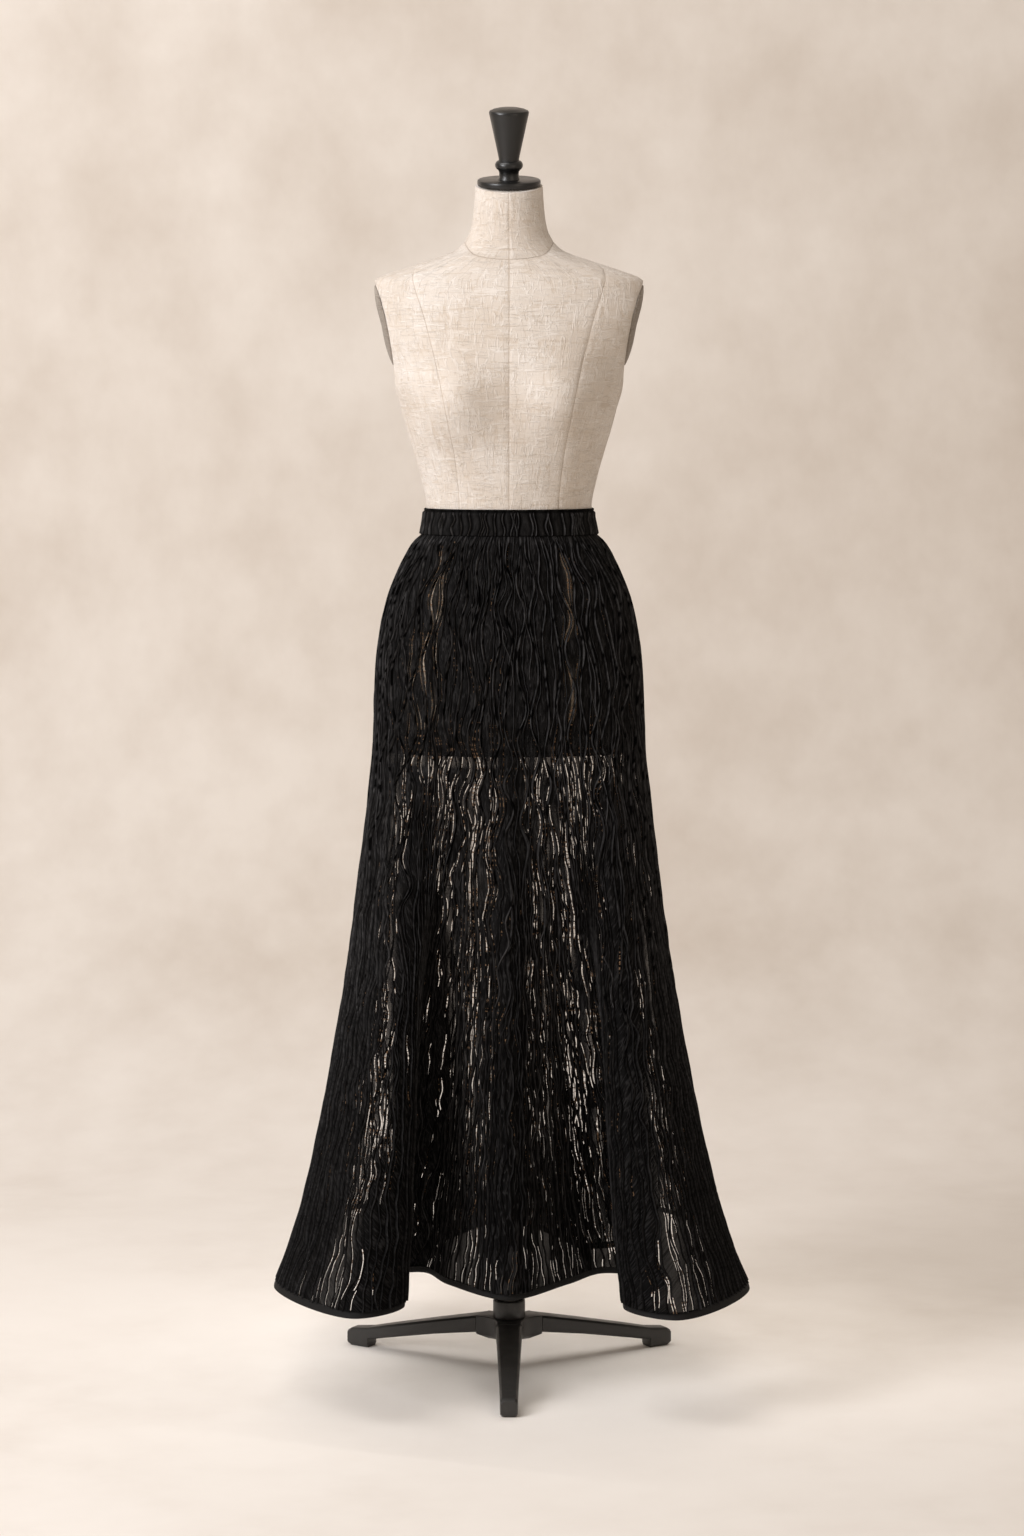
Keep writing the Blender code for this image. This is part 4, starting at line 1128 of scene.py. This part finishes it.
def openness(openings, folds, place, z):
    """The share of cords slit at a place, and the widest slit there: few on the folds and the outer sides."""
    outward = max(abs(place - SLIT_MIDDLE) - SLIT_REACH, 0.0)
    share, widest = STRAY_SLITS * math.exp(-((outward / STRAY_FADE) ** 2)) + STRAYS_LEFT, STRAY_WIDTH
    on_fold = abs(float(fold_rise(folds, np.array([place]), z)[0])) / FULL_FOLD
    share *= max(1.0 - FOLD_CLOSES * on_fold, FOLD_LEAST)
    if z < HEM_OPENINGS:
        share += HEM_EXTRA
    elif z > SHOWN_FROM:
        share, widest = HIDDEN_SHARE, HIDDEN_WIDTH
    elif z > UPPER_OPENINGS:
        share *= UPPER_EXTRA
    for opening in openings:
        inside = column_share(opening, place, z)
        if inside * opening.share > share:
            share, widest = inside * opening.share, opening.widest
    if z < WIDE_BELOW:
        widest *= WIDER
    if z < SINGLE_LAYER:
        share, widest = share * SINGLE_SHARE, widest * SINGLE_WIDTH
    return share, widest


def slit_widths(chance, heights, place, openings, folds):
    """The width of the slits down one side of a cord, 0 where the net meets it."""
    width = np.zeros(len(heights))
    z = heights[0] - chance.uniform(*SLIT_GAPS)
    while z > heights[-1]:
        row = int(np.argmin(abs(heights - (z - SLIT_PROBE))))
        share, widest = openness(openings, folds, place[row], z - SLIT_PROBE)
        length = chance.uniform(*(LONG_SLIT_LENGTH if share > LONG_SLITS else SLIT_LENGTH))
        if chance.random() < share:
            t = (z - heights) / length
            inside = (t > 0) & (t < 1)
            width[inside] = chance.uniform(*SLIT_FULLNESS) * widest * np.sin(math.pi * t[inside]) ** 0.7
            z -= length + chance.uniform(*SLIT_GAPS)
        else:
            z -= chance.uniform(*WHOLE_LENGTH)
    return width


def cord_lines(chance, heights, girths, openings):
    """The cords from seam to seam, a fine one between each two: their places, half widths and heights."""
    stout, born = stout_places(chance, heights, STOUT_CORDS)
    places, halves, tall = [], [], []
    for j, place in enumerate(stout):
        full = 1.0 + UNEVEN * wandering(chance, heights, *UNEVEN_LENGTH)
        places.append(place)
        halves.append(STOUT_HALF_WIDTH * full)
        tall.append(STOUT_HEIGHT * full if 0 < j < len(stout) - 1 else np.full(len(heights), SEAM_SINK))
        if j + 1 < len(stout):
            lean = chance.choice(FINE_LEAN) + FINE_SWAY * wandering(chance, heights, 0.06, 0.20)
            places.append(place + (stout[j + 1] - place) * lean)
            halves.append(FINE_HALF_WIDTH * (1.0 + UNEVEN * wandering(chance, heights, *UNEVEN_LENGTH)))
            tall.append(None)
    # A branch leaves its parent at the parent's height, and so does a fine cord where it has little room.
    for j in range(2, len(places) - 1, 2):
        parent = 6 * round(j / 6)
        tall[j] = tall[parent] + (tall[j] - tall[parent]) * born[j // 2]
    for j in range(1, len(places), 2):
        room = (places[j + 1] - places[j - 1]) * girths
        tall[j] = tall[j - 1] + (FINE_HEIGHT - tall[j - 1]) * np.clip(room / FINE_ROOM, 0.0, 1.0)
    kink = KINK[0] + (KINK[1] - KINK[0]) * drawn_down(heights)
    for j in range(1, len(places) - 1):
        grown = born[j // 2] if j % 2 == 0 else 1.0
        places[j] = places[j] + kink / girths * wandering(chance, heights, *KINK_LENGTH) * grown
    places = np.clip(np.maximum.accumulate(np.array(places), axis=0), 0.0, 1.0)
    for place, half in zip(places, halves):
        torn = [most_inside(openings, at, z) for at, z in zip(place, heights)]
        half *= 1 - THIN_WHERE_TORN * np.array(torn)
    return places, np.array(halves) / girths, np.array(tall)


def lace_table(chance, heights, girths, cords, openings, folds):
    """The columns of a panel's grid: their places, rise and painted highlight at each height, and where there are
    slits.
    """
    places, halves, tall = cords
    spaces = len(places) - 1
    table = np.zeros((LACE_ROWS + 1, SPACE_COLUMNS * spaces + 1))
    rise, raised = np.zeros_like(table), np.zeros_like(table)
    # The slits on the left and on the right of each space, by the column where their faces start.
    slits = {part: np.zeros((LACE_ROWS + 1, spaces), bool) for part in (1, 3)}
    # Painted shade: the painted highlights grow darker towards the hem.
    hem_shade_factor = 1 - HEM_PAINTED_SHADE * drawn_down(heights)
    for i in range(spaces):
        here, there = places[i], places[i + 1]
        room = there - here
        both = halves[i] + halves[i + 1]
        middle = here + room * halves[i] / both
        foot = np.minimum(here + halves[i], middle)
        next_foot = np.maximum(there - halves[i + 1], middle)
        net = next_foot - foot
        fits, most = net * girths > LEAST_NET, MOST_OPEN * net
        left_slit = slit_widths(chance, heights, here, openings, folds) / girths
        right_slit = slit_widths(chance, heights, there, openings, folds) / girths
        left_slit = np.where(fits, np.minimum(left_slit, most), 0.0)
        right_slit = np.where(fits, np.minimum(right_slit, np.maximum(most - left_slit, 0.0)), 0.0)
        slits[1][:, i], slits[3][:, i] = left_slit > 0, right_slit > 0
        step = np.minimum(SHOULDER / girths, net / 3)
        left_step = np.minimum(step, np.maximum(net - right_slit, 0.0) / 2)
        right_step = np.minimum(step, np.maximum(net - left_slit, 0.0) / 2)
        shoulder = foot + np.maximum(left_slit, left_step)
        next_shoulder = np.maximum(next_foot - np.maximum(right_slit, right_step), shoulder)
        merged = 1 - np.clip(room / both, 0.0, 1.0)
        low = merged * np.minimum(tall[i], tall[i + 1]) - FOOT_SINK * (1 - merged)
        fullness = 1 + 0.5 * wandering(chance, heights, 0.05, 0.12)
        puff = PUFF * np.clip(net * girths / PUFF_ROOM, 0.0, 1.0) * fullness
        swell = low + puff * np.where(slits[1][:, i] | slits[3][:, i], SLACK, 1.0)
        # The painted highlight on the crown of the cord.
        nap_and_highlight = (CROWN_HIGHLIGHT[i % 2] + CROWN_HIGHLIGHT_CHANGE * wandering(chance, heights, 0.04, 0.16)) * hem_shade_factor
        net_highlight = NET_PUFF_HIGHLIGHT * puff / PUFF * hem_shade_factor
        across = slice(SPACE_COLUMNS * i, SPACE_COLUMNS * (i + 1))
        table[:, across] = np.stack([here, foot, shoulder, next_shoulder, next_foot], axis=1)
        rise[:, across] = np.stack([tall[i], low, swell, swell, low], axis=1)
        raised[:, across] = np.stack([nap_and_highlight, merged, net_highlight, net_highlight, merged], axis=1)
    table[:, -1], rise[:, -1] = places[-1], tall[-1]
    raised[:, 0] = raised[:, -1] = SEAM_HIGHLIGHT
    return table, rise, raised, slits


def lace(name, seed, first_share, folds, openings, materials, node):
    """One panel of the skirt, seam to seam."""
    chance = random.Random(seed)
    top = BAND_BOTTOM - SEAM_GAP
    bottom = SKIRT_HEM + BINDING_DEPTH - BINDING_LAP
    heights = np.linspace(top, bottom, LACE_ROWS + 1)
    heights[0] = top + TUCK

    def shares_of(places):
        return first_share + SIDE_EDGE + places * (0.5 - 2 * SIDE_EDGE)

    level = shares_of(np.linspace(0.0, 1.0, 400))
    girths = np.array([np.linalg.norm(np.diff(skirt_points(level, z), axis=0), axis=1).sum() for z in heights])
    cords = cord_lines(chance, heights, girths, openings)
    table, rise, raised, slits = lace_table(chance, heights, girths, cords, openings, folds)

    columns = table.shape[1] - 1
    bm, across, up, crown, sheer = flat_grid(columns, LACE_ROWS, "raised", "sheer")
    for face in bm.faces:
        centre = face.calc_center_median()
        space, part = divmod(int(centre.x * columns), SPACE_COLUMNS)
        row = LACE_ROWS - 1 - int(centre.y * LACE_ROWS)
        torn = part in slits and slits[part][row : row + 2, space].any()
        face.material_index = 0 if part in (0, 4) else 2 if torn else 1
    points = np.zeros((LACE_ROWS + 1, columns + 1, 3))
    for row, z in enumerate(heights):
        folded = fold_rise(folds, table[row], z)
        # Painted shade on the ridges of the folds.
        raised[row] *= 1 - FOLD_SHADE * np.clip(folded / FULL_FOLD, 0.0, 1.0)
        shares = shares_of(table[row])
        calm = float(eased((top - z) / 0.06) * eased((z - bottom) / 0.05))
        ways = [(a * girths[row] * CRINKLES[0], z * CRINKLES[1], seed) for a in table[row]]
        lift = rise[row] + folded + CRINKLE * calm * np.array([noise.noise(Vector(way)) for way in ways])
        if row == 0:
            lift = np.full(columns + 1, -TUCK)
        points[row, :, :2] = skirt_points(shares, z) + skirt_outward(shares, z) * lift[:, None]
        points[row, :, 2] = z
    for vert in bm.verts:
        column, row = round(vert.co.x * columns), LACE_ROWS - round(vert.co.y * LACE_ROWS)
        place, z = table[row, column], heights[row]
        vert.co = points[row, column]
        vert[across], vert[up] = (place - 0.5) * girths[row], z
        vert[crown] = min(max(raised[row, column], 0.0), 1.0)
        vert[sheer] = most_inside(openings, place, z) * (1.0 if z > SINGLE_LAYER else SINGLE_SHEER)

    for _ in range(CROSSING_CORDS):
        length, z_top = chance.uniform(*CROSSING_LENGTH), chance.uniform(*CROSSING_TOP)
        drift = chance.choice((-1, 1)) * chance.uniform(*CROSSING_DRIFT) * length
        girth = float(np.interp(-z_top, -heights, girths))
        start = chance.uniform(*CROSSING_START)
        wave, phase = chance.uniform(*CROSSING_WAVE), chance.uniform(0, math.tau)
        segments = int(length / CROSSING_STEP)
        strand = bmesh.ops.create_grid(bm, x_segments=2, y_segments=segments, size=0.5)["verts"]
        for vert in strand:
            side, t = round(vert.co.x * 2), vert.co.y + 0.5
            z = z_top - length * t
            bow = CROSSING_BOW * math.sin(math.tau * length * t / wave + phase)
            place = start + (drift * float(eased(t)) + bow) / girth
            place = min(max(place + side * CROSSING_HALF_WIDTH / girth, CROSSING_EDGE), 1.0 - CROSSING_EDGE)
            share = np.array([shares_of(place)])
            lift = (CROSSING_CREST if side == 0 else CROSSING_FOOT) * min(1.0, 6 * t, 6 * (1 - t))
            lift += float(fold_rise(folds, np.array([place]), z)[0])
            x, y = skirt_points(share, z)[0] + skirt_outward(share, z)[0] * lift
            vert.co = Vector((x, y, z))
            vert[across], vert[up], vert[crown] = (place - 0.5) * girth, z, 1.0 - abs(side)
        for face in {face for vert in strand for face in vert.link_faces}:
            face.material_index = 0

    bmesh.ops.remove_doubles(bm, verts=bm.verts, dist=2e-6)
    bmesh.ops.dissolve_degenerate(bm, edges=bm.edges, dist=1e-6)
    bm.normal_update()
    inward = [face for face in bm.faces if face.normal.xy.dot(face.calc_center_median().xy) < 0]
    if sum(face.calc_area() for face in inward) > sum(face.calc_area() for face in bm.faces) / 2:
        bmesh.ops.reverse_faces(bm, faces=bm.faces)
    return sewn(name, bm, *materials, smooth=80.0, node=node, slot="lace")


def fuzz():
    """A group: the uneven, hairy surface of spun yarn, as a height and as a tone."""
    group, end = number_group("yarn fuzz", "Height", "Tone")
    strands = noise_at(group, cloth_place(group, (1.0, 0.35, 1.0)), 1300.0, 3.0, 0.6)
    lumps = noise_at(group, cloth_place(group, (1.0, 0.30, 1.0)), 230.0)
    group.links.new(added_up(group, (strands, 0.5), (lumps, 0.5)), end.inputs["Height"])
    group.links.new(spread(group, lumps, 0.30, 0.70), end.inputs["Tone"])
    return group


YARN_FUZZ = fuzz()


def yarn(name, foot, crown):
    """Black spun yarn, with a painted highlight on the crown of a raised cord and painted shade at its foot."""
    made = material(name, foot, 0.62, Specular_IOR_Level=0.03)
    tree = made.node_tree
    nap_and_highlight = add(tree, "ShaderNodeGroup", node_tree=YARN_FUZZ)
    lit = worked(tree, "POWER", mark(tree, "raised"), 1.1)
    share = worked(tree, "MULTIPLY", lit, spread(tree, nap_and_highlight.outputs["Tone"], 0.0, 1.0, 0.25, 1.15))
    feed(made, "Base Color", mixed(tree, share, foot, crown))
    feed(made, "Normal", bumped(tree, nap_and_highlight.outputs["Height"], 0.0009, 0.9))
    return made


def net(name, foot, crown, sheerest):
    """The ground of the lace: fine crinkled strands knitted close, but sheer in the columns where it is torn."""
    made = yarn(name, foot, crown)
    tree = made.node_tree
    pleats = noise_at(tree, cloth_place(tree, (1.0, 0.15, 1.0)), 190.0)
    strand = spread(tree, worked(tree, "ABSOLUTE", worked(tree, "SUBTRACT", pleats, 0.5)), 0.012, 0.060, 1.0, 0.0)
    ground = tree.nodes["Principled BSDF"].inputs["Base Color"].links[0].from_socket
    feed(made, "Base Color", mixed(tree, worked(tree, "MULTIPLY", strand, 0.21), ground, crown))
    feed(made, "Normal", bumped(tree, strand, 0.0012, 0.9))
    streaks = noise_at(tree, cloth_place(tree, (1.0, 0.09, 1.0)), 170.0, 3.0, 0.55)
    see_through = spread(tree, streaks, 0.34, 0.57, 0.30 * sheerest, sheerest)
    through = worked(tree, "MULTIPLY", mark(tree, "sheer"), see_through)
    feed(made, "Alpha", worked(tree, "SUBTRACT", 1.0, through))
    return made


def slit_threads(name, colour):
    """What is left across a slit: a thread each few millimetres, most of it open, painted warm brown as painted
    light glowing through the slit.
    """
    made = material(name, colour, 0.85, Specular_IOR_Level=0.14)
    tree = made.node_tree
    rungs = noise_at(tree, cloth_place(tree, (0.18, 1.0, 1.0)), 300.0, 1.0)
    feed(made, "Alpha", spread(tree, rungs, 0.545, 0.625, 0.0, 0.90))
    return made


cords = yarn("black lace cord", CORD_FOOT, CORD_CROWN_HIGHLIGHT)
front_net = net("black lace net", CORD_FOOT, CORD_CROWN_HIGHLIGHT, 0.11)
back_net = net("black lace net, sheer", CORD_FOOT, CORD_CROWN_HIGHLIGHT, 0.90)
threads = slit_threads("slit threads", SLIT_THREAD_PAINTED_LIGHT)

front = lace("skirt_front_lace", 11, 0.0, FRONT_FOLDS, FRONT_OPENINGS, (cords, front_net, threads), "skirt_front")
back = lace("skirt_back_lace", 23, 0.5, BACK_FOLDS, BACK_OPENINGS, (cords, back_net, threads), "skirt_back")

# ---------------------------------------------------------------- the waistband
# A band of the same lace, folded double over elastic: plain and firm, with a narrow rolled edge at the top,
# a few pairs of cords wandering down it, and a sewn seam where the panels are set in below.

BAND_GIRTH = 0.68
BAND_CORDS = 58
BAND_CORD_HALF_WIDTH = 0.00170
BAND_CORD_HEIGHT = 0.0023
BAND_OUT = 0.0034
BAND_RELIEF = (1.0, -0.3, 0.45, 0.45, -0.3)  # a cord's crown and foot, the cloth between, the next foot
BAND_RIPPLE = 0.0004
# The band's yarn is painted: a highlight on each cord's crown and, fainter, on the cloth between the cords, with
# painted shade at the cords' feet.
BAND_PUFF_HIGHLIGHT = 0.26
BAND_FOOT_TONE = (0.0008, 0.0007, 0.0007)
BAND_CROWN_HIGHLIGHT = (0.0560, 0.0540, 0.0545)
PAIRED = 0.45  # the share of cords that run close beside the one before, and both spacings
PAIR_SPACE = (0.30, 0.45)
FREE_SPACE = (1.0, 1.9)
BAND_WAVE = (0.022, 0.045)
BAND_SWAY = (0.0010, 0.0026)
BandRow = namedtuple("BandRow", "z out cord")  # height, how far out of the band's face, how much of a cord
BAND = [
    BandRow(1.2392, -0.0032, 0.0),
    BandRow(1.2400, -0.0016, 0.0),
    BandRow(1.2396, -0.0004, 0.0),
    BandRow(1.2386, 0.0002, 0.0),
    BandRow(1.2374, 0.0001, 0.0),
    BandRow(1.2366, -0.0008, 0.0),
    BandRow(1.2357, -0.0001, 0.3),
    BandRow(1.2335, 0.0, 1.0),
]
BAND += [BandRow(1.2335 - 0.0018 * k, 0.0, 1.0) for k in range(1, 17)]
BAND += [BandRow(1.2036, -0.0002, 0.6), BandRow(1.2028, -0.0008, 0.2), BandRow(1.2023, -0.0018, 0.0)]
BAND += [BandRow(1.2022, -0.0030, 0.0)]

chance = random.Random(5)
heights = np.array([row.z for row in BAND])
homes = [0.0]
while homes[-1] < 1.0:
    space = PAIR_SPACE if chance.random() < PAIRED else FREE_SPACE
    homes.append(homes[-1] + chance.uniform(*space) / BAND_CORDS)
last_cord, last_row = len(homes) - 1, len(BAND) - 1
band_places = []
for k, home in enumerate(homes):
    wave, phase = chance.uniform(*BAND_WAVE), chance.uniform(0, math.tau)
    sway = 0.0 if k in (0, last_cord) else chance.uniform(*BAND_SWAY) / BAND_GIRTH
    band_places.append(home / homes[-1] + sway * np.sin(math.tau * heights / wave + phase))
band_columns = SPACE_COLUMNS * last_cord
bm, across, up, raised = flat_grid(band_columns, last_row, "raised")
cord_half = BAND_CORD_HALF_WIDTH / BAND_GIRTH
for vert in bm.verts:
    column, row = round(vert.co.x * band_columns), last_row - round(vert.co.y * last_row)
    k, part = divmod(column, SPACE_COLUMNS)
    here, there = band_places[k][row], band_places[min(k + 1, last_cord)][row]
    middle = (here + there) / 2
    foot, next_foot = min(here + cord_half, middle), max(there - cord_half, middle)
    share = (here, foot, foot + (next_foot - foot) / 3, foot + (next_foot - foot) * 2 / 3, next_foot)[part]
    z, out, cord = BAND[row]
    ripple = BAND_RIPPLE * cord * noise.noise(Vector((share * 60.0, z * 60.0, 3.0)))
    body = BAND_OUT + out + BAND_CORD_HEIGHT * cord * BAND_RELIEF[part]
    x, y = oval(share, read(FORM, "half_width", z) + body + ripple, read(FORM, "front", z) + body + ripple)
    vert.co = Vector((x, y, z))
    # Painted highlight on the cloth between the cords, none at the feet.
    puff_highlight = 0.0 if part in (1, 4) else BAND_PUFF_HIGHLIGHT
    vert[across], vert[up] = share * BAND_GIRTH, z
    vert[raised] = cord if part == 0 else puff_highlight * max(cord, 0.5)
band_cloth = yarn("waistband lace", BAND_FOOT_TONE, BAND_CROWN_HIGHLIGHT)
sewn("waistband_lace", closed_up(bm), band_cloth, smooth=75.0, node="waistband", slot="lace")

# ---------------------------------------------------------------- the hem binding
# A narrow strip of plain black cloth is folded over the raw edge of the lace all round, and sewn through
# along its upper edge.

BINDING_COLUMNS = 640
BINDING_CENTRE = -0.00075
BINDING_SIDE = [(0.0014, 0.1641), (0.0017, 0.1632), (0.0012, 0.1622), (0.0016, 0.1612), (0.0017, 0.1576)]
BINDING_SIDE += [(0.0012, 0.1557)]
BINDING_OUTLINE = [*BINDING_SIDE, (0.0, 0.1550)]
BINDING_OUTLINE += [*((-out, z) for out, z in reversed(BINDING_SIDE)), (0.0, 0.1644)]
BINDING = (0.0080, 0.0078, 0.0078)

binding_cloth = material("black binding", BINDING, 0.72, Specular_IOR_Level=0.15)
tree = binding_cloth.node_tree
twill = noise_at(tree, cloth_place(tree, (1.0, 0.5, 1.0)), 1100.0)
puckers = noise_at(tree, cloth_place(tree, (1.0, 0.2, 1.0)), 130.0)
feed(binding_cloth, "Normal", bumped(tree, added_up(tree, (twill, 0.3), (puckers, 0.7)), 0.0006, 0.8))

strip_rows = len(BINDING_OUTLINE)
bm, across, up = flat_grid(BINDING_COLUMNS, strip_rows)
shares = np.linspace(0.0, 1.0, BINDING_COLUMNS + 1)
ring = skirt_points(shares, SKIRT_HEM)
hem_run = np.concatenate([[0.0], np.cumsum(np.linalg.norm(np.diff(ring, axis=0), axis=1))])
strips = []
for out, z in BINDING_OUTLINE:
    strips.append((skirt_points(shares, z) + skirt_outward(shares, z) * (BINDING_CENTRE + out), z))
for vert in bm.verts:
    column, row = round(vert.co.x * BINDING_COLUMNS), round(vert.co.y * strip_rows)
    points, z = strips[row % strip_rows]
    vert.co = Vector((*points[column], z))
    vert[across], vert[up] = hem_run[column], z
sewn("hem_binding_strip", closed_up(bm), binding_cloth, smooth=60.0, node="hem_binding", slot="binding")
